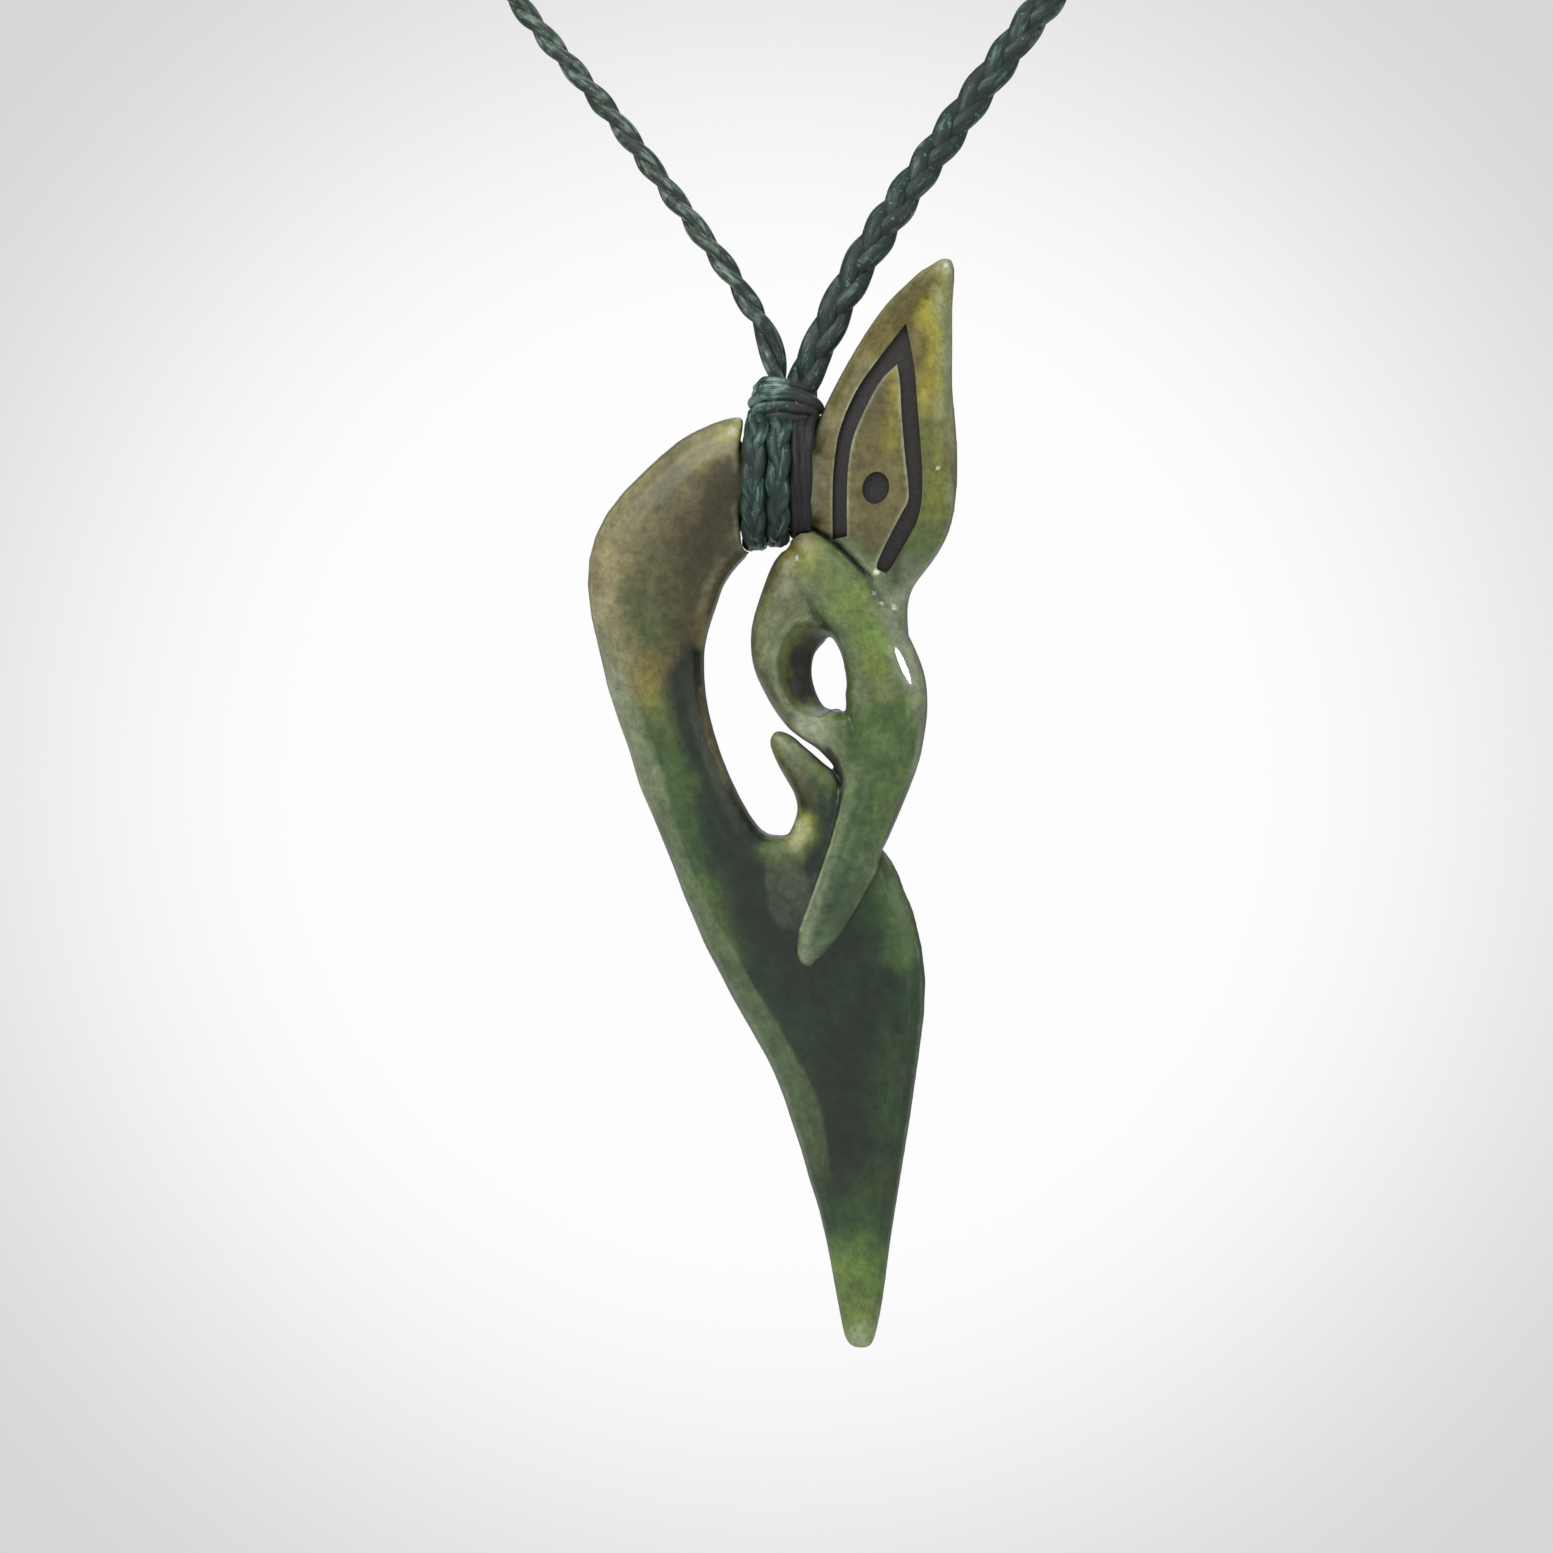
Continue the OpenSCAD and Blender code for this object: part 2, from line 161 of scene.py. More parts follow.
# Colour laid on the stone in soft strokes, the later over the earlier: layer, strength, radius,
# softness and the stroke's points. Some strokes paint light and shade, and they are marked as such
STROKES = [
    ("khaki", 1.0, 5.2, 0.3, [(9.3, 12.7), (7.2, 6.4), (5.7, 0.4), (5.2, -4.0)]),
    ("khaki", 1.0, 5.0, 0.4, [(-2.1, 3.4), (-7.2, 0.4), (-9.6, -4.4), (-9.4, -8.6)]),
    ("khaki", 0.7, 2.8, 0.7, [(-9.4, -8.6), (-8.0, -12.6)]),
    ("khaki", 0.8, 2.2, 0.5, [(1.4, -4.2), (-0.3, -8.0), (-0.3, -11.6), (1.8, -14.6)]),
    ("moss", 0.7, 1.4, 0.7, [(-7.2, -14.0), (-6.6, -17.6)]),
    ("moss", 0.55, 1.2, 0.7, [(-6.4, -18.4), (-5.4, -22.0), (-3.6, -26.8)]),
    ("moss", 0.45, 0.9, 0.8, [(-7.0, -4.6), (-6.2, -6.4), (-7.0, -8.4)]),
    ("moss", 0.35, 1.3, 0.8, [(-8.6, -6.6), (-8.0, -8.4)]),
    ("moss", 1.0, 2.6, 0.25, [(4.7, -47.4), (4.9, -51.0)]),
    ("moss", 0.5, 1.4, 0.7, [(9.2, -1.8), (7.6, -5.8), (6.6, -7.4)]),
    # Paler over the arm's upper left: partly the stone's grey, partly painted light where light falls
    # from above left
    ("celadon", 0.2, 3.0, 0.8, [(-3.4, 2.8), (-7.6, -0.2), (-9.8, -4.6)]),
    # Along the arm's left edge: the stone's grey green, with painted light where the edge catches the
    # light (the pale)
    ("celadon", 0.45, 1.2, 0.9, [(-10.9, -8.0), (-10.3, -11.4)]),
    ("celadon", 0.95, 1.0, 0.8, [(-10.5, -11.4), (-9.7, -14.6), (-8.5, -18.6)]),
    ("pale", 0.24, 0.5, 0.8, [(-9.9, -12.6), (-9.2, -16.0), (-8.6, -18.4)]),
    ("deep", 0.3, 0.8, 0.8, [(-8.6, -6.6), (-7.8, -9.4)]),
    ("leaf", 0.1, 1.0, 0.8, [(-6.6, -15.6), (-5.4, -19.6)]),
    ("deep", 0.22, 0.9, 0.8, [(-7.0, -16.0), (-6.6, -18.0)]),
    ("leaf", 0.25, 0.8, 0.8, [(-4.4, -24.4), (-3.0, -27.4)]),
    ("leaf", 0.45, 1.8, 0.5, [(4.6, -48.0), (4.9, -51.2)]),
    ("leaf", 0.5, 1.0, 0.8, [(4.0, -47.6), (4.5, -50.4)]),
    ("leaf", 0.45, 0.9, 0.8, [(9.4, -0.2), (9.0, -3.0)]),
    ("leaf", 0.2, 0.6, 0.8, [(9.1, 3.4), (9.0, 2.0)]),
    ("ochre", 0.35, 0.7, 0.9, [(9.5, 12.4), (9.2, 10.0)]),
    ("umber", 0.4, 0.8, 0.8, [(8.9, 12.2), (8.0, 11.2), (7.0, 9.8)]),
    ("ochre", 0.74, 0.8, 0.9, [(9.3, 10.4), (9.2, 7.4), (9.3, 5.6), (9.0, 5.0)]),
    ("umber", 0.1, 0.4, 0.9, [(8.5, 8.6), (8.6, 6.4)]),
    ("moss", 0.5, 1.0, 0.9, [(8.6, 3.4), (8.8, 0.6)]),
    ("ochre", 0.22, 0.7, 0.9, [(9.3, 3.0), (9.4, 0.4), (9.0, -2.0)]),
    ("ochre", 0.45, 0.45, 0.9, [(6.7, 6.4), (6.9, 4.4), (6.9, 2.4)]),
    ("ochre", 0.28, 0.55, 0.9, [(-8.0, -10.8), (-7.7, -13.0)]),
    ("ochre", 0.4, 0.9, 0.8, [(-2.6, 3.3), (-4.6, 1.6)]),
    # Painted warm glint on the top of the arm, by the lashing
    ("ochre", 0.7, 0.3, 0.9, [(-3.3, 3.2), (-2.7, 3.4)]),
    ("pale", 0.8, 0.16, 0.9, [(-3.1, 3.25), (-2.8, 3.4)]),
    ("rose", 0.5, 1.1, 0.8, [(-10.9, -4.0), (-10.7, -7.8)]),
    ("rose", 0.3, 0.6, 0.8, [(3.2, 3.6), (2.7, 0.2)]),
    ("rose", 0.3, 0.7, 0.8, [(-3.0, -3.2), (-3.4, -4.4)]),
    # Down the head's right side: the stone's yellow and green, with painted light along the edge (the
    # pale and the outer celadon)
    ("pale", 0.4, 0.6, 0.9, [(9.9, 12.0), (9.9, 9.4), (9.8, 6.4), (9.7, 4.8)]),
    ("leaf", 0.25, 0.6, 0.9, [(9.9, 12.0), (9.9, 9.4), (9.8, 6.4), (9.8, 4.8)]),
    ("ochre", 0.6, 0.5, 0.9, [(9.1, 10.0), (9.1, 7.4), (9.1, 5.6)]),
    ("ochre", 0.2, 0.5, 0.9, [(9.9, 12.0), (9.8, 6.0)]),
    ("umber", 0.2, 0.6, 0.8, [(8.7, 12.1), (7.8, 11.1), (7.2, 10.2)]),
    ("ochre", 0.2, 0.6, 0.9, [(9.6, 1.0), (9.8, -1.0)]),
    ("celadon", 0.4, 0.4, 0.8, [(10.3, 10.4), (10.3, 5.4), (10.4, 1.2), (10.1, -0.8)]),
    ("celadon", 0.95, 1.1, 0.8, [(8.0, -5.2), (7.3, -6.6)]),
    ("umber", 0.35, 0.7, 0.8, [(5.2, -2.9), (4.6, -3.5)]),
    ("celadon", 0.45, 0.3, 0.8, [(2.9, 4.6), (2.1, 2.4), (2.0, -1.4)]),
    # Painted shade on the arm beside the lashing and down its inner side, over the stone's brown
    ("umber", 0.9, 1.7, 0.7, [(-2.4, 0.6), (-3.4, -1.4), (-4.6, -3.4)]),
    ("umber", 0.35, 1.6, 0.8, [(-4.4, 1.0), (-6.4, -1.8), (-7.4, -5.4)]),
    ("umber", 0.7, 1.4, 0.8, [(-4.8, -4.2), (-5.6, -7.2), (-5.9, -10.4)]),
    ("umber", 0.3, 1.6, 0.8, [(5.2, 4.6), (5.0, 1.0)]),
    # Painted shade: the near black band along the inner edge of the arm and the blade, which faces
    # away from the light
    ("ink", 0.95, 1.15, 0.6, [(-5.5, -10.6), (-5.4, -13.2), (-4.8, -15.4)]),
    ("ink", 0.45, 1.1, 0.8, [(-4.6, -16.6), (-3.4, -20.2)]),
    ("ink", 0.5, 1.3, 0.8, [(-4.4, -19.6), (-3.2, -23.2), (-1.8, -27.0)]),
    # Along the inner edge: painted shade in brown, and beside it a thin tan rim of painted light where
    # it catches the light
    ("umber", 0.5, 0.3, 0.8, [(-5.0, -10.8), (-4.7, -13.4), (-3.9, -16.4), (-2.5, -19.4)]),
    ("rose", 0.4, 0.35, 0.8, [(-3.5, -4.6), (-4.4, -6.6), (-4.8, -9.4)]),
    ("rose", 0.35, 0.2, 0.8, [(-4.75, -12.2), (-4.4, -14.4), (-3.5, -17.2), (-2.2, -19.6)]),
    ("ink", 0.9, 2.9, 0.4, [
        (-1.4, -20.8), (0.8, -25.4), (3.2, -29.4), (5.0, -32.0), (4.9, -36.0), (4.3, -40.0),
    ]),
    # Painted shadow of the crossing strand on the blade, at its left
    ("ink", 0.65, 1.2, 0.6, [(1.6, -17.6), (2.4, -20.2), (2.2, -23.0)]),
    ("ink", 0.75, 1.3, 0.6, [(-0.8, -29.4), (1.6, -33.4), (3.2, -37.4), (3.7, -41.4)]),
    ("deep", 0.5, 1.0, 0.7, [(7.0, -31.0), (7.4, -34.0), (6.6, -40.0)]),
    ("celadon", 0.14, 1.15, 0.12, [(0.5, -22.4), (0.6, -25.4)]),
    # Painted shadow of the crossing strand on the blade, by its end
    ("ink", 0.8, 0.9, 0.9, [(-0.4, -26.9), (1.4, -27.1)]),
    ("moss", 0.75, 1.2, 0.4, [(6.5, -22.8), (7.3, -25.2), (7.2, -27.8)]),
    ("celadon", 0.1, 0.5, 0.8, [(6.9, -23.8), (7.4, -25.4)]),
    ("moss", 0.2, 1.0, 0.8, [(6.6, -33.6), (6.2, -38.0)]),
    ("leaf", 0.1, 1.4, 0.8, [(5.6, -41.6), (5.2, -43.8)]),
    ("moss", 0.6, 0.9, 0.7, [(-0.1, -15.2), (1.0, -16.6)]),
    ("moss", 0.3, 0.8, 0.7, [(1.2, -16.8), (2.6, -18.2)]),
    ("khaki", 0.7, 0.5, 0.8, [(-0.5, -15.3), (0.0, -15.9)]),
    ("ochre", 0.3, 0.35, 0.9, [(-0.4, -15.3), (-0.1, -16.8), (0.7, -19.0)]),
    ("khaki", 0.4, 0.4, 0.8, [(-0.4, -16.0), (-0.1, -17.0), (0.7, -19.0)]),
    ("leaf", 0.3, 0.35, 0.9, [(-0.4, -15.2), (0.0, -17.2), (0.8, -19.2), (1.1, -20.6)]),
    ("leaf", 0.45, 0.8, 0.9, [(1.3, -20.2), (0.7, -21.6), (-0.4, -21.8)]),
    ("ochre", 0.4, 0.6, 0.9, [(1.2, -20.0), (0.8, -21.2)]),
    ("deep", 0.4, 0.55, 0.8, [(0.9, -16.3), (1.7, -17.6), (2.2, -19.0)]),
    ("leaf", 0.5, 0.45, 0.8, [(1.5, -16.3), (2.4, -17.0), (3.0, -17.9)]),
    ("khaki", 0.35, 0.5, 0.8, [(1.0, -17.0), (1.4, -18.4)]),
    ("pale", 0.6, 0.45, 0.9, [(1.1, -20.2), (0.9, -20.9)]),
    ("ochre", 0.25, 0.5, 0.9, [(1.1, -20.2), (0.9, -20.9)]),
    ("moss", 0.6, 1.2, 0.8, [(8.8, -3.2), (7.4, -5.6)]),
    ("deep", 0.6, 0.7, 0.8, [(7.1, -4.2), (6.6, -5.6)]),
    ("moss", 1.0, 2.5, 0.25, [(3.4, -5.4), (5.4, -9.2), (6.4, -12.8), (6.2, -16.4)]),
    ("moss", 0.55, 1.4, 0.6, [(0.9, -6.0), (-0.2, -9.0), (0.0, -12.2), (2.4, -15.4)]),
    ("khaki", 0.5, 1.2, 0.8, [(0.8, -4.2), (-0.4, -6.6)]),
    ("celadon", 0.4, 1.5, 0.7, [(1.4, -6.4), (3.4, -6.0), (5.0, -8.4), (5.6, -12.8)]),
    ("celadon", 0.4, 0.5, 0.8, [
        (0.7, -5.2), (-1.0, -8.4), (-1.1, -11.0), (0.3, -14.1), (2.2, -16.3),
    ]),
    ("celadon", 0.85, 0.8, 0.7, [(1.2, -14.4), (3.2, -15.4), (3.9, -17.4)]),
    ("celadon", 0.75, 0.8, 0.6, [(6.9, -8.2), (8.2, -11.2), (8.6, -13.6), (8.0, -16.6)]),
    ("celadon", 0.4, 0.6, 0.8, [(4.2, -3.6), (5.6, -5.6), (6.8, -7.4)]),
    ("celadon", 0.6, 0.8, 0.8, [(8.0, -5.0), (7.5, -6.5)]),
    # Painted light on the head's lower right
    ("pale", 0.25, 0.5, 0.9, [(7.8, -5.4), (7.5, -6.5)]),
    ("leaf", 0.5, 0.8, 0.8, [(2.4, -4.4), (3.8, -5.8)]),
    ("deep", 0.35, 0.6, 0.8, [(2.4, -5.8), (3.6, -5.4)]),
    ("leaf", 0.3, 0.7, 0.8, [(2.8, -6.8), (3.6, -7.4)]),
    ("leaf", 0.85, 0.9, 0.7, [(4.2, -6.8), (5.4, -9.0), (5.9, -10.6)]),
    ("leaf", 0.5, 0.6, 0.8, [(7.6, -13.2), (7.6, -16.4)]),
    ("ochre", 0.2, 0.7, 0.8, [(5.4, -10.8), (6.2, -12.6)]),
    ("ochre", 0.25, 0.8, 0.8, [(0.9, -4.6), (1.5, -4.2)]),
    ("ochre", 0.15, 0.6, 0.9, [(1.7, -4.8), (2.6, -5.4)]),
    ("umber", 0.1, 0.8, 0.8, [(1.6, -8.8), (2.8, -8.9), (3.4, -9.4)]),
    # Painted shade in the small crease below the hole
    ("umber", 0.8, 0.3, 0.8, [(3.8, -14.0), (3.8, -14.9)]),
    # Painted shade on the shaded side of the small hole
    ("smoke", 1.0, 0.8, 0.15, [(1.25, -10.4), (1.35, -11.4), (1.5, -12.3)]),
    ("moss", 0.8, 0.5, 0.5, [(2.0, -13.4), (3.6, -13.6)]),
    ("ink", 0.3, 0.8, 0.8, [(5.9, -12.4), (6.4, -16.4)]),
    # Painted shade in the seam between the head and the crossing strand
    ("ink", 0.85, 0.13, 0.7, HEAD_SEAM),
    # Painted highlights along the edges of the engraved line
    ("pale", 0.4, 0.12, 0.8, [row[2:] for row in EYE_LEFT]),
    ("pale", 0.35, 0.1, 0.8, [row[:2] for row in EYE_LEFT[:6]]),
    ("pale", 0.45, 0.12, 0.8, [row[2:] for row in EYE_RIGHT]),
    # Painted highlight on the lower edge of the loop
    ("pale", 0.62, 0.5, 0.8, [(1.1, -14.5), (2.1, -15.1)]),
    # Painted shadow where the barb passes under the crossing strand
    ("ink", 0.9, 0.25, 0.6, [(2.9, -15.9), (3.4, -16.7), (3.6, -17.9)]),
    ("leaf", 0.9, 1.3, 0.7, [(4.7, -50.8), (5.0, -51.4)]),
    # Painted light in the thin tip of the blade, over the stone's green
    ("pale", 0.4, 0.9, 0.8, [(4.8, -51.0), (5.0, -51.5)]),
    ("leaf", 0.35, 0.9, 0.8, [(4.8, -51.0), (5.0, -51.5)]),
    # Painted glint at the tip of the head
    ("pale", 0.5, 0.3, 0.9, [(9.9, 13.2), (10.1, 13.0)]),
]
# Edges that catch the light, where the dark outline painted as shade on the side walls is left off
LIT_EDGES = [
    [(-3.0, 4.2), (-7.4, 1.8), (-10.4, -2.2), (-11.3, -6.4), (-10.4, -12.0), (-8.2, -19.0)],
    [(9.0, 13.2), (6.0, 9.8), (3.4, 5.6), (1.9, 2.4), (1.8, -2.0)],
    [(10.4, 12.6), (10.4, 5.0), (10.5, -1.0)],
]
# The part of the upper left bevel that is less polished
DULL_LINE = [(9.3, 12.8), (8.0, 11.3), (7.0, 9.8), (6.2, 8.4)]
# Glints, painted as small bright spots and made glossy: x, z, radius
GLINT_SPOTS = [
    (1.0, -4.3, 0.13), (5.76, -5.16, 0.2), (5.65, -6.4, 0.14), (6.84, -7.3, 0.18),
    (6.1, -7.0, 0.1), (9.45, 1.1, 0.12), (10.0, 13.3, 0.12),
]
# Strokes that stay on the raised strand where it crosses the blade
TONGUE_STROKES = [
    ("moss", 1.0, 2.6, 0.3, [(6.2, -15.4), (4.7, -21.0), (3.2, -25.0), (1.6, -28.4)]),
    ("celadon", 0.06, 1.6, 0.8, [(5.8, -16.4), (4.3, -21.4), (2.8, -25.4)]),
    ("deep", 0.5, 1.0, 0.8, [(5.8, -17.4), (4.6, -20.4), (3.8, -23.4)]),
    ("deep", 0.85, 1.2, 0.8, [(3.6, -24.0), (2.4, -27.4)]),
    ("celadon", 0.35, 0.35, 0.8, [(4.3, -17.0), (3.2, -21.4), (1.8, -26.0), (1.4, -28.4)]),
    ("leaf", 0.25, 0.8, 0.8, [(7.0, -17.0), (6.0, -20.0)]),
    # Painted highlight along the left edge of the crossing strand
    ("pale", 0.45, 0.14, 0.6, [
        (3.95, -17.4), (3.05, -21.1), (2.45, -23.0), (1.75, -25.0), (1.15, -26.6),
    ]),
]
# Tint of the facets beside a ridge: layer, ridge, side, and strength where it begins and ends. The
# moss is the stone's colour; the paler celadon partly stands in for the light that the flats catch
FACET_TINTS = [
    ("moss", BLADE_RIDGE, -1, 0.5, 0.42),
    ("celadon", BLADE_RIDGE, -1, 0.4, 0.03),
    ("celadon", STRAND_RIDGE, 1, 0.3, 0.3),
]
LAYERS = (
    "deep", "khaki", "moss", "celadon", "leaf", "ochre",
    "rose", "umber", "ink", "smoke", "pale", "spark",
)

# Places on the front that are smoothed into one surface: x, z, radius
BLENDS = [
    (1.5, -4.2, 1.3), (2.2, -5.6, 1.3), (2.9, -7.0, 0.9), (7.3, -8.0, 0.8), (6.7, -7.2, 0.7),
    (2.5, 2.0, 1.2), (2.5, 0.6, 1.2), (2.5, -0.8, 1.2), (2.5, -2.0, 0.9),
]

# The bright streak on the flat beside the ridge of the crossing strand, its half width and length
STREAK = [(6.92, -9.65), (7.84, -11.85)]
STREAK_SIZE = (0.24, 1.45)
# How fast the streak's facet falls back to the right and upwards, which sends a lamp's light forwards
STREAK_SLOPE = (0.658, 0.208)

# Routes of the neck cords in millimetres, from inside the collar to inside the knot at the nape
TWISTED_START = [
    (0.0, -126, -105), (-0.15, -126, -103.2), (-0.85, -125.8, -100.8), (-1.85, -125.4, -99),
    (-3.35, -124.6, -96.7), (-6.0, -122.7, -93.1), (-10.5, -119, -87.1), (-15.65, -115, -80.9),
]
BRAIDED_START = [
    (1.2, -126, -104.8), (1.7, -126, -102.9), (2.5, -125.8, -101.3), (3.5, -125.4, -99.1),
    (5.5, -124, -95.5), (7.9, -121.7, -91.9), (10.5, -119, -88.2), (15.8, -115, -80.9),
]
NECK_ROUTE = [
    (24, -107.5, -70), (34.5, -98, -58.5), (45, -88, -47.5), (53.5, -78, -38), (58.5, -68, -30.5),
    (60, -57, -24), (58, -42, -18), (52, -27.5, -12), (42.5, -15, -7), (30, -5.5, -3.2),
    (15.5, 0.6, -0.8), (3.7, 2.4, 0), (0.4, 2.4, 0),
]
# Turns of the collar, from the top down, measured from the hinge: reach from the middle, middle x,
# half thickness, and the heights at the left, the front left and so on by the front, right and back
COLLAR_TURNS = [
    (1.62, 0.25, 0.24, (5.9, 6.35, 6.2, 5.95, 5.5, 5.6, 5.7, 5.7)),
    (1.6, 0.2, 0.34, (5.5, 5.95, 5.85, 5.6, 5.15, 5.3, 5.4, 5.4)),
    (1.85, 0.35, 0.42, (5.0, 5.5, 5.55, 5.25, 4.7, 4.8, 4.9, 4.9)),
    (1.75, 0.3, 0.42, (4.35, 4.75, 4.85, 4.6, 4.15, 4.2, 4.3, 4.3)),
    (1.55, 0.25, 0.42, (3.85, 4.1, 4.2, 4.05, 3.75, 3.8, 3.9, 3.8)),
]
# Turns of the lashing: name, middle x, reach to the front, up and down, side swing, rise, strand
# radius, lobes, strands, how far the front bows to the left, how far the top and the bottom lean to
# the right and how much the top fans out
LASHING_TURNS = [
    ("left", -1.58, (3.24, 4.3, 3.4), 0.37, 0.1, 0.43, 4, 3, 0.05, 0.32, 0.06, 0.0),
    ("middle", -0.14, (3.2, 4.4, 3.14), 0.37, 0.1, 0.43, 4, 3, 0.0, 0.28, 0.0, 0.0),
    ("right", 1.24, (2.96, 4.4, 2.86), 0.39, 0.02, 0.3, 1, 5, 0.0, 0.26, 0.0, 0.4),
]


def colour_property(name, description, default):
    return FloatVectorProperty(
        name=name, description=description, subtype="COLOR", size=3, min=0, max=1, default=default
    )


def length_property(name, description, default):
    return FloatProperty(
        name=name, description=description, default=default, min=0, unit="LENGTH", precision=5
    )


class StoneSettings(bpy.types.PropertyGroup):
    grain: length_property("Grain", "Edge length of the stone's mesh", 0.165 * MM)
    groove_depth: length_property("Groove depth", "Depth of the engraved line and dot", 0.35 * MM)
    polish_passes: IntProperty(
        name="Polish passes", description="Smoothing passes over the carved shape", default=14, min=0
    )
    deep: colour_property("Deep", "Dark green body of the stone", (0.015, 0.046, 0.014))
    khaki: colour_property("Khaki", "Weathered olive of the head and arm", (0.148, 0.126, 0.044))
    moss: colour_property("Moss", "Middle green of the strand", (0.060, 0.112, 0.026))
    celadon: colour_property("Celadon", "Pale grey green of the edges", (0.230, 0.262, 0.160))
    leaf: colour_property("Leaf", "Bright green patches", (0.128, 0.200, 0.034))
    ochre: colour_property("Ochre", "Yellow patches", (0.330, 0.300, 0.030))
    rose: colour_property("Rose", "Warm tan patches", (0.300, 0.250, 0.135))
    # Brown of the stone, also laid as painted shade beside the lashing, along the inner edge and in a
    # crease below the hole
    umber: colour_property("Umber", "Dark brown along the inner edge", (0.034, 0.027, 0.010))
    # Nearly black green of the stone, also laid as painted shade in seams, under the crossing strand
    # and along the inner edge
    ink: colour_property("Ink", "Nearly black green", (0.006, 0.015, 0.007))
    # Painted shade: the shaded side of the small hole, and the dark outlines on the side walls
    smoke: colour_property("Smoke", "Shaded side of the small hole", (0.050, 0.048, 0.042))
    pale: colour_property("Pale", "Rims that catch the light", (0.420, 0.460, 0.330))
    # Painted glints
    spark: colour_property("Spark", "Small bright spots in the seam", (0.800, 0.900, 0.720))
    groove: colour_property("Groove", "Paint in the engraved line", (0.032, 0.030, 0.028))


class CordSettings(bpy.types.PropertyGroup):
    ply_radius: length_property("Ply radius", "Radius of one ply of the thin cord", 0.43 * MM)
    ply_offset: length_property("Ply offset", "Distance of a ply from the cord's middle", 0.25 * MM)
    ply_pitch: length_property("Ply pitch", "Length of one full twist", 5.4 * MM)
    braid_radius: length_property("Braid strand radius", "Radius of a strand of the plait", 0.62 * MM)
    braid_width: length_property("Braid swing", "Side swing of a strand in the plait", 0.47 * MM)
    braid_period: length_property("Braid period", "Length of one full plait", 8.7 * MM)
    twisted_dark: colour_property("Twisted dark", "Dark thread of the thin cord", (0.013, 0.026, 0.02))
    twisted_light: colour_property("Twisted light", "Lit thread of the thin cord", (0.17, 0.24, 0.195))
    # Painted shade in the hollows between the plies and strands of the cords
    twisted_hollow_shade: colour_property("Twisted hollow shade", "Hollows of the thin cord", (0.028, 0.04, 0.034))
    plaited_dark: colour_property("Plaited dark", "Dark thread of the plaits", (0.013, 0.027, 0.021))
    plaited_light: colour_property("Plaited light", "Lit thread of the plaits", (0.09, 0.19, 0.145))
    braid_hollow_shade: colour_property("Braid hollow shade", "Hollows of the thick cord", (0.018, 0.028, 0.024))
    collar_light: colour_property("Collar light", "Lit thread of the collar", (0.189, 0.3135, 0.261))
    # Painted shade: the lashing's right turn, beside the head, is coloured nearly black
    black: colour_property("Black", "Nearly black thread", (0.015, 0.015, 0.016))


class StageSettings(bpy.types.PropertyGroup):
    view_width: length_property("View width", "Width of the picture at the stone", 93.2 * MM)
    view_distance: length_property("View distance", "From the camera to the stone", 1.6)
    floor_drop: length_property("Floor drop", "From the nape down to the floor", 0.32)
    backdrop: colour_property("Backdrop", "Middle of the background", (0.983, 0.983, 0.983))
    # Painted shade at the corners of the backdrop
    corner: colour_property("Corner", "Corners of the background", (0.676, 0.676, 0.676))
    room_light: FloatProperty(
        name="Room light", description="Light from the room", default=0.68, min=0
    )
    room_dark: FloatProperty(
        name="Room dark", description="Light from behind the stone", default=0.2, min=0
    )


def eased(rows, steps):
    """Points of one smooth curve through rows, with a number of steps between neighbours."""
    rows = np.array(rows, float)
    last = len(rows) - 1
    at = np.linspace(0, last, last * steps + 1)
    i = np.minimum(at.astype(int), last - 1)
    t = (at - i)[:, None]
    a, b, c, d = (rows[np.clip(i + k, 0, last)] for k in (-1, 0, 1, 2))
    bend, wave = 2 * a - 5 * b + 4 * c - d, 3 * b - a - 3 * c + d
    return (2 * b + (c - a) * t + bend * t**2 + wave * t**3) / 2


def run_along(points):
    """How far along a line each of its points is."""
    return np.concatenate([[0], np.cumsum(np.linalg.norm(np.diff(points, axis=0), axis=1))])


def evenly(points, spacing):
    """The same line with evenly spaced points, and how far along it each of them is."""
    run = run_along(points)
    count = max(2, round(run[-1] / spacing) + 1)
    at = np.linspace(0, run[-1], count)
    return np.stack([np.interp(at, run, points[:, k]) for k in range(3)], axis=1), at


def carried_axes(points, out):
    """Side and outward directions along a line, carried along it without twisting."""
    ways = np.gradient(points, axis=0)
    ways /= np.linalg.norm(ways, axis=1)[:, None]
    outs = np.zeros_like(points)
    out = np.array(out, float)
    for i, way in enumerate(ways):
        out = out - (out @ way) * way
        out /= np.linalg.norm(out)
        outs[i] = out
    return np.cross(ways, outs), outs


def new_object(name, data):
    obj = bpy.data.objects.new(name, data)
    bpy.context.scene.collection.objects.link(obj)
    return obj


def mesh_from(shape, name):
    """A new mesh from a bmesh, which is freed."""
    mesh = bpy.data.meshes.new(name)
    shape.to_mesh(mesh)
    shape.free()
    return mesh


def evaluated_mesh(obj):
    """The object's mesh with its modifiers applied, as a new mesh."""
    graph = bpy.context.evaluated_depsgraph_get()
    return bpy.data.meshes.new_from_object(obj.evaluated_get(graph), depsgraph=graph)


def mesh_points(mesh):
    points = np.zeros(len(mesh.vertices) * 3)
    mesh.vertices.foreach_get("co", points)
    return points.reshape(-1, 3)


def set_mesh_points(mesh, points):
    mesh.vertices.foreach_set("co", points.ravel())
    mesh.update()


def vertex_normals(mesh):
    normals = np.zeros(len(mesh.vertices) * 3)
    mesh.vertex_normals.foreach_get("vector", normals)
    return normals.reshape(-1, 3)


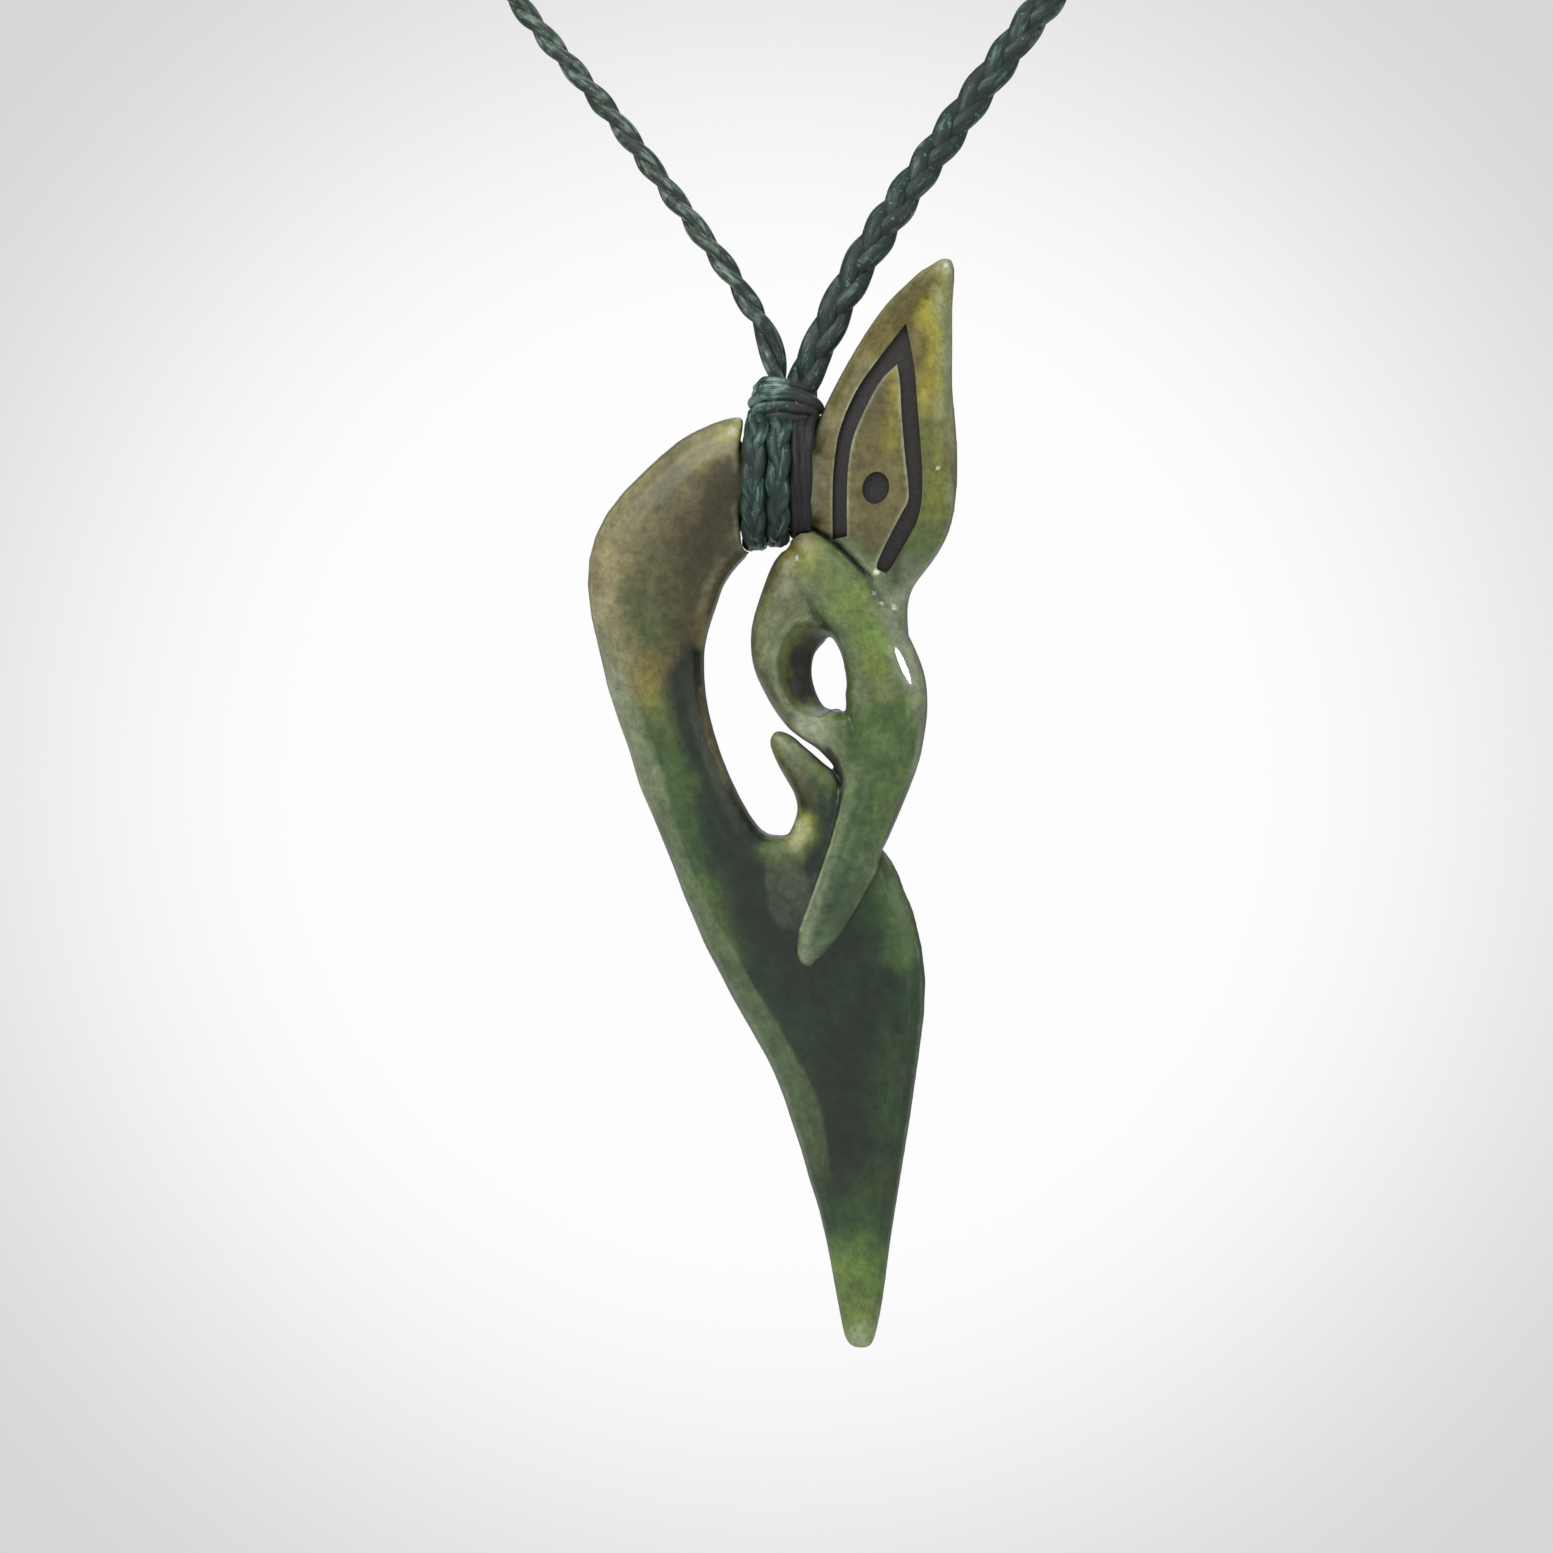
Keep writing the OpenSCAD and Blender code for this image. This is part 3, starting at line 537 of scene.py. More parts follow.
def mesh_edges(mesh):
    edges = np.zeros(len(mesh.edges) * 2, int)
    mesh.edges.foreach_get("vertices", edges)
    return edges.reshape(-1, 2)


def store(mesh, name, values):
    """Keeps one number a vertex in the mesh, for its material."""
    attribute = mesh.attributes.new(name, "FLOAT", "POINT")
    attribute.data.foreach_set("value", np.asarray(values, np.float32))


def smooth(values, low, high):
    """0 below low and 1 above high, eased in between."""
    t = np.clip((values - low) / (high - low), 0, 1)
    return t * t * (3 - 2 * t)


def drifts(points, size, shift=0.0):
    """Smooth noise at each point, as a vector: swells of a size, from a place shifted along x."""
    noise_field.seed_set(NOISE_SEED)
    offset = Vector((shift, 0, 0))
    return np.array([noise_field.noise_vector(Vector(p) / size + offset) for p in points])


def point_tree(points):
    """The points, ready for a search of the nearest."""
    tree = KDTree(len(points))
    for i, point in enumerate(points):
        tree.insert(point, i)
    tree.balance()
    return tree


def surface_tree(mesh):
    """The mesh's surface, ready for rays."""
    shape = bmesh.new()
    shape.from_mesh(mesh)
    tree = BVHTree.FromBMesh(shape)
    shape.free()
    return tree


# Materials


def add_node(tree, kind, inputs=(), **settings):
    node = tree.nodes.new(kind)
    for name, value in settings.items():
        setattr(node, name, value)
    for socket, value in dict(inputs).items():
        if isinstance(value, bpy.types.NodeSocket):
            tree.links.new(value, node.inputs[socket])
        else:
            node.inputs[socket].default_value = value
    return node


def math_node(tree, operation, *values):
    return add_node(tree, "ShaderNodeMath", dict(enumerate(values)), operation=operation).outputs[0]


def vector_node(tree, operation, inputs, output="Vector"):
    return add_node(tree, "ShaderNodeVectorMath", inputs, operation=operation).outputs[output]


def mapped(tree, place, inputs, kind="POINT"):
    node = add_node(tree, "ShaderNodeMapping", {"Vector": place, **inputs}, vector_type=kind)
    return node.outputs["Vector"]


def noise(tree, place, scale, detail=4.0, roughness=0.55, distortion=0.0):
    inputs = {"Vector": place, "Scale": scale, "Detail": detail, "Roughness": roughness}
    inputs["Distortion"] = distortion
    return add_node(tree, "ShaderNodeTexNoise", inputs).outputs["Fac"]


def ramp(tree, value, low, high, to_low=0.0, to_high=1.0):
    inputs = {"Value": value, "From Min": low, "From Max": high, "To Min": to_low, "To Max": to_high}
    node = add_node(tree, "ShaderNodeMapRange", inputs, interpolation_type="SMOOTHSTEP")
    return node.outputs["Result"]


def blend_colours(tree, share, first, second, mode="MIX"):
    node = add_node(tree, "ShaderNodeMix", data_type="RGBA", blend_type=mode)
    for socket, value in (("Factor_Float", share), ("A_Color", first), ("B_Color", second)):
        entry = next(s for s in node.inputs if s.identifier == socket)
        if isinstance(value, bpy.types.NodeSocket):
            tree.links.new(value, entry)
        else:
            entry.default_value = value if socket == "Factor_Float" else (*value, 1)
    return next(s for s in node.outputs if s.identifier == "Result_Color")


def attribute_node(tree, name, output="Fac"):
    node = add_node(tree, "ShaderNodeAttribute", attribute_name=name, attribute_type="GEOMETRY")
    return node.outputs[output]


def millimetre_place(tree, stretch=(1, 1, 1)):
    """Object coordinates in millimetres, stretched along each axis."""
    place = add_node(tree, "ShaderNodeTexCoord").outputs["Object"]
    return mapped(tree, place, {"Scale": tuple(s / MM for s in stretch)})


def add_bump(tree, shader, height, strength, distance):
    inputs = {"Height": height, "Strength": strength, "Distance": distance}
    bump = add_node(tree, "ShaderNodeBump", inputs)
    tree.links.new(bump.outputs["Normal"], shader.inputs["Normal"])


def new_material(name, **constants):
    """A material with one Principled shader, whose constants are set on its sockets."""
    material = bpy.data.materials.new(name)
    material.use_nodes = True
    tree = material.node_tree
    shader = tree.nodes["Principled BSDF"]
    for socket, value in constants.items():
        shader.inputs[socket.replace("_", " ")].default_value = value
    return material, tree, shader


def stroke_colours(tree, settings):
    """The layers' colours, mixed by how much each of them covers, with torn edges."""
    along = millimetre_place(tree, (1, 1, 0.8))
    total, colour = 0.0, (0, 0, 0)
    for i, layer in enumerate(LAYERS):
        shifted = mapped(tree, along, {"Location": (7.3 * i, 0, 3.1 * i)})
        torn = math_node(tree, "POWER", 12.0, noise(tree, shifted, 1.0, 6, 0.68, 0.3))
        share = math_node(tree, "MULTIPLY", attribute_node(tree, layer), torn)
        total = math_node(tree, "ADD", total, share)
        shown = vector_node(tree, "SCALE", {0: tuple(getattr(settings, layer)), "Scale": share})
        colour = vector_node(tree, "ADD", {0: colour, 1: shown})
    evened = math_node(tree, "DIVIDE", 1.0, total)
    return vector_node(tree, "SCALE", {0: colour, "Scale": evened})


def jade_material(settings):
    constants = {
        "IOR": 1.5,
        "Subsurface_Weight": 0.1,
        "Subsurface_Scale": 0.6 * MM,
        "Subsurface_Radius": (0.7, 1.0, 0.4),
    }
    material, tree, shader = new_material("polished_jade", **constants)
    place = millimetre_place(tree)
    colour = stroke_colours(tree, settings)
    # Painted light and shade: paler on proud rims as highlights, darker in seams as shade and darker
    # on the side walls as dark outlines
    for name, tint, strength in (("rim", "pale", 0.2), ("seam", "ink", 0.5), ("side", "smoke", 0.6)):
        share = math_node(tree, "MULTIPLY", attribute_node(tree, name), strength)
        colour = blend_colours(tree, share, colour, tuple(getattr(settings, tint)))
    clouds = noise(tree, place, 0.55, 4, 0.6, 0.3)
    mottles = noise(tree, place, 1.9, 5, 0.7, 0.4)
    flecks = noise(tree, place, 3.4, 3, 0.6)
    shade = ramp(tree, clouds, 0.32, 0.68, 0.8, 1.2)
    shade = math_node(tree, "MULTIPLY", shade, ramp(tree, mottles, 0.34, 0.62, 0.75, 1.15))
    shade = math_node(tree, "MULTIPLY", shade, ramp(tree, flecks, 0.33, 0.44, 0.8, 1.01))
    tone = add_node(tree, "ShaderNodeCombineColor", {"Red": shade, "Green": shade, "Blue": shade})
    colour = blend_colours(tree, 1.0, colour, tone.outputs["Color"], "MULTIPLY")
    tree.links.new(colour, shader.inputs["Base Color"])
    satin = ramp(tree, mottles, 0.3, 0.7, 0.32, 0.44)
    gloss = math_node(tree, "MAXIMUM", attribute_node(tree, "gloss"), streak_mask(tree))
    polished = math_node(tree, "MULTIPLY", gloss, 0.28)
    tree.links.new(math_node(tree, "SUBTRACT", satin, polished), shader.inputs["Roughness"])
    dull = math_node(tree, "MULTIPLY", 0.42, attribute_node(tree, "dull"))
    tree.links.new(math_node(tree, "SUBTRACT", 0.5, dull), shader.inputs["Specular IOR Level"])
    calm = math_node(tree, "SUBTRACT", 1.0, gloss)
    waves = math_node(tree, "MULTIPLY", noise(tree, place, 1.1, 3, 0.5), calm)
    add_bump(tree, shader, waves, 0.35, 0.04 * MM)
    return material


def streak_mask(tree):
    """1 on the long oval of the bright streak, 0 elsewhere."""
    (first_x, first_z), (last_x, last_z) = STREAK
    half_width, half_length = STREAK_SIZE
    front_y, half_depth = -2, 4
    middle = Vector(((first_x + last_x) / 2, front_y, (first_z + last_z) / 2))
    inputs = {
        "Location": hinge + middle * MM,
        "Rotation": (0, math.atan2(first_x - last_x, first_z - last_z), 0),
        "Scale": (half_width * MM, half_depth * MM, half_length * MM),
    }
    place = add_node(tree, "ShaderNodeTexCoord").outputs["Object"]
    reach = vector_node(tree, "LENGTH", {0: mapped(tree, place, inputs, "TEXTURE")}, "Value")
    return ramp(tree, reach, 0.8, 1.0, 1.0, 0.0)


def groove_material(settings):
    material, tree, shader = new_material("groove_paint", Roughness=0.6, Specular_IOR_Level=0.25)
    grit = noise(tree, millimetre_place(tree), 5.0, 3)
    lighter = tuple(1.5 * c for c in settings.groove)
    colour = blend_colours(tree, ramp(tree, grit, 0.4, 0.8), tuple(settings.groove), lighter)
    tree.links.new(colour, shader.inputs["Base Color"])
    return material


def thread_material(name, dark, light, cover=0.5, shine=0.28, shade_colour=(0.034, 0.035, 0.035), glint_level=0.7):
    """Waxed thread: lit and dark fibres along the strand, from the thread attribute, lit more in
    clumps, with painted shade from the shade attribute and painted glints in small flecks.
    """
    material, tree, shader = new_material(name, Specular_IOR_Level=0.35)
    thread = attribute_node(tree, "thread", "Vector")
    fibres = noise(tree, mapped(tree, thread, {"Scale": (0.55, 3.2, 3.2)}), 1.0, 3, 0.6, 0.4)
    hairs = noise(tree, mapped(tree, thread, {"Scale": (1.5, 9.0, 9.0)}), 1.0, 3, 0.6)
    clumps = noise(tree, millimetre_place(tree), 0.9, 3, 0.6)
    mixed = math_node(tree, "MULTIPLY_ADD", hairs, 0.4, math_node(tree, "MULTIPLY", fibres, 0.6))
    middle = 0.62 - 0.24 * cover
    lit = ramp(tree, mixed, middle - 0.06, middle + 0.13)
    caught = math_node(tree, "MULTIPLY", lit, ramp(tree, clumps, 0.38, 0.6, 0.1, 1.0))
    colour = blend_colours(tree, caught, dark, light)
    # Painted shade where the shade attribute says: in the hollows of the cords and on the collar's
    # dark side
    shaded = blend_colours(tree, attribute_node(tree, "shade"), colour, shade_colour)
    # Painted glints: small flecks of thread paler than the lit colour, where the wax would catch the
    # light
    flecks = ramp(tree, noise(tree, millimetre_place(tree), 2.6, 2, 0.5), glint_level, glint_level + 0.04, 0.0, 0.4)
    glinted = blend_colours(tree, flecks, shaded, tuple(min(1, 1.8 * c) for c in light))
    tree.links.new(glinted, shader.inputs["Base Color"])
    tree.links.new(ramp(tree, mixed, 0.4, 0.65, shine + 0.25, shine), shader.inputs["Roughness"])
    add_bump(tree, shader, mixed, 0.6, 0.12 * MM)
    return material


# The stone


def relax(points, edges, steps):
    """Moves points towards their neighbours' middle, by each step's share of the way in turn."""
    count = len(points)
    share = 1 / np.bincount(edges.ravel(), minlength=count)
    first, second = edges.T
    for step in steps:
        middle = np.zeros_like(points)
        for axis in range(3):
            towards = np.bincount(first, points[second, axis], count)
            back = np.bincount(second, points[first, axis], count)
            middle[:, axis] = (towards + back) * share
        points = points + step * (middle - points)
    return points


def even_steps(passes):
    """Steps for relax that smooth without shrinking the shape."""
    return (0.5, -0.52) * passes


def inward_steps(passes):
    """Steps for relax that draw ridges in and fill seams."""
    return (0.5,) * passes


def line_distance(places, line):
    """For each (x, z) place: distance to the line, side of it, and how far along it the foot is."""
    line = np.array(line, float)
    best = np.full(len(places), np.inf)
    side = np.zeros(len(places))
    run = np.zeros(len(places))
    start = 0.0
    for a, b in zip(line[:-1], line[1:]):
        way = b - a
        length = np.linalg.norm(way)
        t = np.clip(((places - a) @ way) / length**2, 0, 1)
        off = places - a - t[:, None] * way
        distance = np.linalg.norm(off, axis=1)
        nearer = distance < best
        best[nearer] = distance[nearer]
        side[nearer] = np.sign(way[0] * off[nearer, 1] - way[1] * off[nearer, 0])
        run[nearer] = start + t[nearer] * length
        start += length
    return best, side, run, start


def nearest_distance(places, lines):
    return np.min([line_distance(places, line)[0] for line in lines], axis=0)


def surface_heights(tree, line, face):
    """How far out the stone's front (face 1) or back (face -1) is at each point of a line."""
    heights = []
    for x, z in line:
        hit = tree.ray_cast(Vector((x, -20 * face, z)), Vector((0, face, 0)))[0]
        heights.append(-hit.y * face if hit else 0)
    return np.array(heights)


def cut_flat(points, tree, ridge, outer_side, slope, reach, fade):
    """Cuts the flat facet that falls away from a ridge line, on the front and on the back."""
    ridge = eased(ridge, 4)
    distance, side, run, length = line_distance(points[:, [0, 2]], ridge)
    outside = (side == outer_side) & (distance < reach)
    stations = run_along(ridge)
    ending = smooth(np.minimum(run, length - run), 0.05, fade)
    thin_edge = 0.7
    for face in (1, -1):
        level = np.interp(run, stations, surface_heights(tree, ridge, face))
        limit = level - slope * distance + slope * (reach + 1) * (1 - ending)
        limit = np.maximum(limit, thin_edge)
        height = -points[:, 1] * face
        low = outside & (height > limit)
        points[low, 1] = -limit[low] * face


def blend_areas(points, edges, normals):
    """Smooths the front into one surface round each of the blends."""
    calm = relax(points, edges, inward_steps(70))
    facing = smooth(-normals[:, 1], 0.1, 0.5)
    near = np.zeros(len(points))
    for x, z, radius in BLENDS:
        reach = np.linalg.norm(points[:, [0, 2]] - (x, z), axis=1)
        near = np.maximum(near, 1 - smooth(reach, 0.5 * radius, 1.3 * radius))
    points[:, 1] += (calm[:, 1] - points[:, 1]) * near * facing


def press_seam(points, normals):
    """Presses the narrow cut between head and strand into the front of the stone."""
    width, depth = SEAM_SIZE
    distance, _, run, length = line_distance(points[:, [0, 2]], eased(HEAD_SEAM, 4))
    ending = smooth(np.minimum(run, length - run), -0.2, 0.8)
    facing = smooth(-normals[:, 1], 0.1, 0.5)
    points[:, 1] += depth * np.exp(-((distance / width) ** 2)) * ending * facing


def polish(points, normals):
    """Cuts the streak's flat facet, and gives how polished the bright spots make each point."""
    places = points[:, [0, 2]]
    distance = line_distance(places, STREAK)[0]
    near = (1 - smooth(distance, 0.3, 0.6)) * (normals[:, 1] < 0)
    flat = (places - places[near > 0.5].mean(axis=0)) @ STREAK_SLOPE + points[near > 0.5, 1].mean()
    points[:, 1] += (flat - points[:, 1]) * near
    gloss = np.zeros(len(points))
    for x, z, radius in GLINT_SPOTS:
        reach = np.linalg.norm(places - (x, z), axis=1)
        gloss = np.maximum(gloss, 1 - smooth(reach, radius, 2 * radius))
    return gloss * smooth(-normals[:, 1], 0.0, 0.3)


def nudge(points):
    """Moves parts of the shape by their small shifts."""
    places = points[:, [0, 2]].copy()
    for line, radius, across, up in NUDGES:
        near = 1 - smooth(line_distance(places, line)[0], 0.0, radius)
        points[:, 0] += across * near
        points[:, 2] += up * near


def curvature(points, edges, normals, passes):
    """How far each point stands proud of its neighbours: above 0 on ridges, below 0 in seams."""
    calm = relax(points, edges, even_steps(1))
    return np.einsum("ij,ij->i", calm - relax(calm, edges, inward_steps(passes)), normals)


def groove_cutter(tree, depth):
    """A solid that sinks the engraved line round the eye, up its left side and down its right."""
    rows = np.concatenate([eased(EYE_LEFT, 5)[:-1], eased(EYE_RIGHT, 5)])
    shape = bmesh.new()
    bmesh.ops.create_grid(shape, x_segments=len(rows) - 1, y_segments=1, size=1)
    for vert, (x, z) in zip(shape.verts, np.concatenate([rows[:, :2], rows[:, 2:]])):
        vert.co = (x, 0, z)
    raise_to_front(shape, tree, depth)
    return shape


def pupil_cutter(tree, depth):
    """A solid that sinks the oval dot of the eye."""
    shape = bmesh.new()
    turn = Matrix.Rotation(PUPIL_TILT, 4, "Y")
    place = Matrix.Translation((PUPIL_PLACE[0], 0, PUPIL_PLACE[1]))
    stretch = Matrix.Diagonal((PUPIL_SIZE[0], PUPIL_SIZE[1], 1, 1))
    face_on = Matrix.Rotation(math.radians(90), 4, "X")
    bmesh.ops.create_circle(
        shape, cap_ends=True, segments=40, radius=1, matrix=place @ turn @ face_on @ stretch
    )
    raise_to_front(shape, tree, depth)
    return shape


def raise_to_front(shape, tree, depth):
    """Sinks an open floor into the stone's front, and extrudes it forwards to a closed solid."""
    for vert in shape.verts:
        vert.co.y = depth - surface_heights(tree, [(vert.co.x, vert.co.z)], 1)[0]
    lifted = bmesh.ops.extrude_face_region(shape, geom=list(shape.faces))["geom"]
    past_stone = -6
    for vert in (g for g in lifted if isinstance(g, bmesh.types.BMVert)):
        vert.co.y = past_stone
    bmesh.ops.recalc_face_normals(shape, faces=shape.faces)


def cut_away(obj, shape, material):
    """Takes a bmesh solid out of an object, and gives the cut faces their own material."""
    mesh = mesh_from(shape, "cutter")
    mesh.materials.append(material)
    cutter = new_object("cutter", mesh)
    cut = obj.modifiers.new("cut", "BOOLEAN")
    cut.operation = "DIFFERENCE"
    cut.solver = "EXACT"
    cut.material_mode = "TRANSFER"
    cut.object = cutter
    result = evaluated_mesh(obj)
    obj.modifiers.clear()
    obj.data = result
    bpy.data.objects.remove(cutter)


def torn_places(points):
    """Places (x, z) of points, shifted by smooth noise so that colours meet along torn edges."""
    shift = sum(amount * drifts(points, size) for size, amount in ((2.6, 0.55), (0.9, 0.3)))
    return (points + shift)[:, [0, 2]]


def paint_strokes(mesh):
    """Stores how much of each colour covers each point of the stone."""
    points = mesh_points(mesh)
    places, torn = points[:, [0, 2]], torn_places(points)
    cover = {layer: np.zeros(len(points)) for layer in LAYERS}
    cover["deep"] += 1

    def lay(layer, share):
        for name in LAYERS:
            cover[name] *= 1 - share
        cover[layer] += share

    raised = smooth(-points[:, 1], 2.0, 2.2)
    for strokes, where in ((STROKES, 1.0), (TONGUE_STROKES, raised)):
        for layer, strength, radius, softness, line in strokes:
            distance = line_distance(places if radius < 0.4 else torn, eased(line, 3))[0]
            spread = smooth(distance, radius * (1 - softness), radius * (1 + softness))
            lay(layer, where * strength * (1 - spread))
    for layer, ridge, outer_side, first, last in FACET_TINTS:
        distance, side, run, length = line_distance(0.7 * places + 0.3 * torn, eased(ridge, 4))
        beyond = smooth(distance * side * outer_side, -0.1, 0.15) * (1 - smooth(distance, 2.8, 3.6))
        ending = smooth(np.minimum(run, length - run), 0.0, 2.5)
        lay(layer, beyond * ending * (first + (last - first) * run / length))
    # Painted glints: small bright spots where the polish catches the light
    for x, z, radius in GLINT_SPOTS:
        reach = np.linalg.norm(places - (x, z), axis=1)
        lay("spark", 0.9 * (1 - smooth(reach, 0.3 * radius, 1.3 * radius)))
    for layer, values in cover.items():
        store(mesh, layer, values)


def rough_stone(grain):
    """The plain stone as an object with an even fine mesh, in millimetres from the hinge."""
    shape = bmesh.new()
    shape.from_mesh(frame["nodes"]["manaia_stone"].data)
    to_millimetres = Matrix.Scale(1 / MM, 4) @ Matrix.Translation(-hinge)
    bmesh.ops.transform(shape, matrix=to_millimetres, verts=shape.verts)
    bmesh.ops.remove_doubles(shape, verts=shape.verts, dist=0.001)
    stone = new_object("carved_stone", mesh_from(shape, "carved_stone"))
    remesh = stone.modifiers.new("grain", "REMESH")
    remesh.mode = "VOXEL"
    remesh.voxel_size = grain / MM
    stone.data = evaluated_mesh(stone)
    stone.modifiers.clear()
    return stone


def shape_surface(mesh, passes):
    """Smooths the stone and cuts its facets and its seam.

    Gives its points and, for each, how proud it stands, how flat on it faces and how polished it is.
    """
    edges = mesh_edges(mesh)
    points = relax(mesh_points(mesh), edges, even_steps(passes))
    set_mesh_points(mesh, points)
    tree = surface_tree(mesh)
    blend_areas(points, edges, vertex_normals(mesh))
    for facet in FACETS:
        cut_flat(points, tree, *facet)
    press_seam(points, vertex_normals(mesh))
    points = relax(points, edges, even_steps(3))
    set_mesh_points(mesh, points)
    normals = vertex_normals(mesh)
    flat_on = np.abs(normals[:, 1])
    edge_growth = 0.06 * (1 - smooth(flat_on, 0.3, 0.8))
    points[:, [0, 2]] += normals[:, [0, 2]] * edge_growth[:, None]
    nudge(points)
    gloss = polish(points, normals)
    set_mesh_points(mesh, points)
    return points, curvature(points, edges, vertex_normals(mesh), 4), flat_on, gloss


def engrave(stone, paint, depth):
    """Sinks the dot and the line of the eye, and paints them."""
    tree = surface_tree(stone.data)
    for shape in (pupil_cutter(tree, depth), groove_cutter(tree, depth)):
        cut_away(stone, shape, paint)


def carve_stone(settings):
    """The finished stone, made in millimetres from the hinge and then set in its place."""
    stone = rough_stone(settings.grain)
    points, proud, flat_on, gloss = shape_surface(stone.data, settings.polish_passes)
    stone.data.materials.clear()
    stone.data.materials.append(jade_material(settings))
    engrave(stone, groove_material(settings), settings.groove_depth / MM)
    mesh = stone.data
    spots = point_tree(points)
    nearest = [spots.find(vert.co)[1] for vert in mesh.vertices]
    # Painted light and shade: proud rims painted paler as highlights, seams painted darker as shade
    store(mesh, "rim", smooth(proud[nearest], 0.004, 0.02))
    store(mesh, "seam", smooth(-proud[nearest], 0.004, 0.02))
    places = mesh_points(mesh)[:, [0, 2]]
    lit = nearest_distance(places, LIT_EDGES)
    # Painted shade: the side walls are darkened as dark outlines, except along the edges that catch
    # the light
    store(mesh, "side", (1 - smooth(flat_on[nearest], 0.08, 0.55)) * smooth(lit, 0.6, 2.0))
    store(mesh, "gloss", gloss[nearest])
    store(mesh, "dull", 1 - smooth(line_distance(places, DULL_LINE)[0], 0.5, 1.6))
    paint_strokes(mesh)
    mesh.shade_smooth()
    mesh.set_sharp_from_angle(angle=math.radians(40))
    mesh.transform(Matrix.Translation(hinge) @ Matrix.Scale(MM, 4))
    return stone


# Threads


def tube(points, radius, sides_level, closed=False, start=0.0):
    """One thread along points, in metres, with its length from start and its roundness stored."""
    curve = bpy.data.curves.new("strand", "CURVE")
    curve.dimensions = "3D"
    curve.bevel_depth = radius
    curve.bevel_resolution = sides_level
    curve.use_fill_caps = not closed
    spline = curve.splines.new("POLY")
    spline.points.add(len(points) - 1)
    spline.points.foreach_set("co", np.column_stack([points, np.ones(len(points))]).ravel())
    spline.use_cyclic_u = closed
    carrier = new_object("strand", curve)
    mesh = evaluated_mesh(carrier)
    bpy.data.objects.remove(carrier)
    bpy.data.curves.remove(curve)
    sides = 4 + 2 * sides_level
    ring = np.arange(len(mesh.vertices)) // sides
    around = np.arange(len(mesh.vertices)) % sides * 2 * math.pi / sides
    run = run_along(points) / MM
    thread = np.column_stack([
        start + run[np.minimum(ring, len(run) - 1)],
        np.cos(around) * radius / MM,
        np.sin(around) * radius / MM,
    ])
    attribute = mesh.attributes.new("thread", "FLOAT_VECTOR", "POINT")
    attribute.data.foreach_set("vector", thread.astype(np.float32).ravel())
    return mesh


def wavering(points, size, amount, shift):
    """Points, in millimetres, moved a little by smooth noise, so that no turn is quite regular."""
    return points + amount * drifts(points, size, shift)


def bundle(name, strands, material, shade=None):
    """Joins strands in one object, closes their ends and stores how far each point lies in shade."""
    shape = bmesh.new()
    for mesh in strands:
        shape.from_mesh(mesh)
        bpy.data.meshes.remove(mesh)
    bmesh.ops.remove_doubles(shape, verts=shape.verts, dist=1e-7)
    bmesh.ops.recalc_face_normals(shape, faces=shape.faces)
    mesh = mesh_from(shape, name)
    mesh.shade_smooth()
    mesh.materials.clear()
    mesh.materials.append(material)
    places = mesh_points(mesh) / MM
    store(mesh, "shade", shade(places) if shade else np.zeros(len(places)))
    return new_object(name, mesh)


def hollow_shade(line, inner, outer):
    """A function for bundle that shades the hollows near the middle line of a cord, in metres."""
    tree = point_tree(line / MM)

    def shade(places):
        reach = np.array([tree.find(p)[2] for p in places])
        return 1 - smooth(reach, inner, outer)

    return shade


def finish_piece(obj, body, node):
    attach(obj, body)
    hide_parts(node)


def wound_ring(x, reaches, spread, rise, strand_radius, periods, strands, bow, lean, lean_low, fan):
    """A plaited ring about the hinge line: strands swing sideways by spread and outwards by rise."""
    front, up, down = reaches
    stations = 200
    angle = np.arange(stations) * 2 * math.pi / stations + math.pi
    ahead, high = np.maximum(np.cos(angle), 0), np.sin(angle)
    top, bottom = np.maximum(high, 0) ** 2, np.maximum(-high, 0) ** 3
    shift = x - bow * ahead**4 + lean * top + lean_low * bottom
    wide = spread * (0.9 + 0.1 * ahead + fan * top)
    tall = np.where(high > 0, up, down)
    meshes = []
    for k in range(strands):
        phase = periods * angle + 2 * math.pi * k / strands
        swell = rise * np.sin(2 * phase)
        over = shift + wide * np.sin(phase)
        ring = np.column_stack([over, -(front + swell) * np.cos(angle), (tall + swell) * high])
        ring = wavering(ring, 1.1, 0.09, 5 * k)
        meshes.append(tube(ring * MM + np.array(hinge), strand_radius * MM, 3, True, stations * k))
    return meshes


def collar_turn(reach, middle, strand_radius, heights, start):
    """One turn of the collar, round both cords."""
    corners = np.arange(8) * math.pi / 4
    steps = 16
    ring = np.column_stack([middle - reach * np.cos(corners), -reach * np.sin(corners), heights])
    ring = eased(np.concatenate([ring[-2:], ring, ring[:3]]), steps)[2 * steps : -2 * steps - 1]
    ring = wavering(ring, 1.2, 0.1, start)
    return tube(ring * MM + np.array(hinge), strand_radius * MM, 4, True, start)


# The pieces


class PENDANT_OT_carve_stone(bpy.types.Operator):
    """Carve the green stone with its facets, engraved eye and colours"""

    bl_idname = "pendant.carve_stone"
    bl_label = "Carve Stone"

    def execute(self, context):
        stone = carve_stone(context.scene.pendant_stone)
        finish_piece(stone, swing["child"], "manaia_stone")
        return {"FINISHED"}


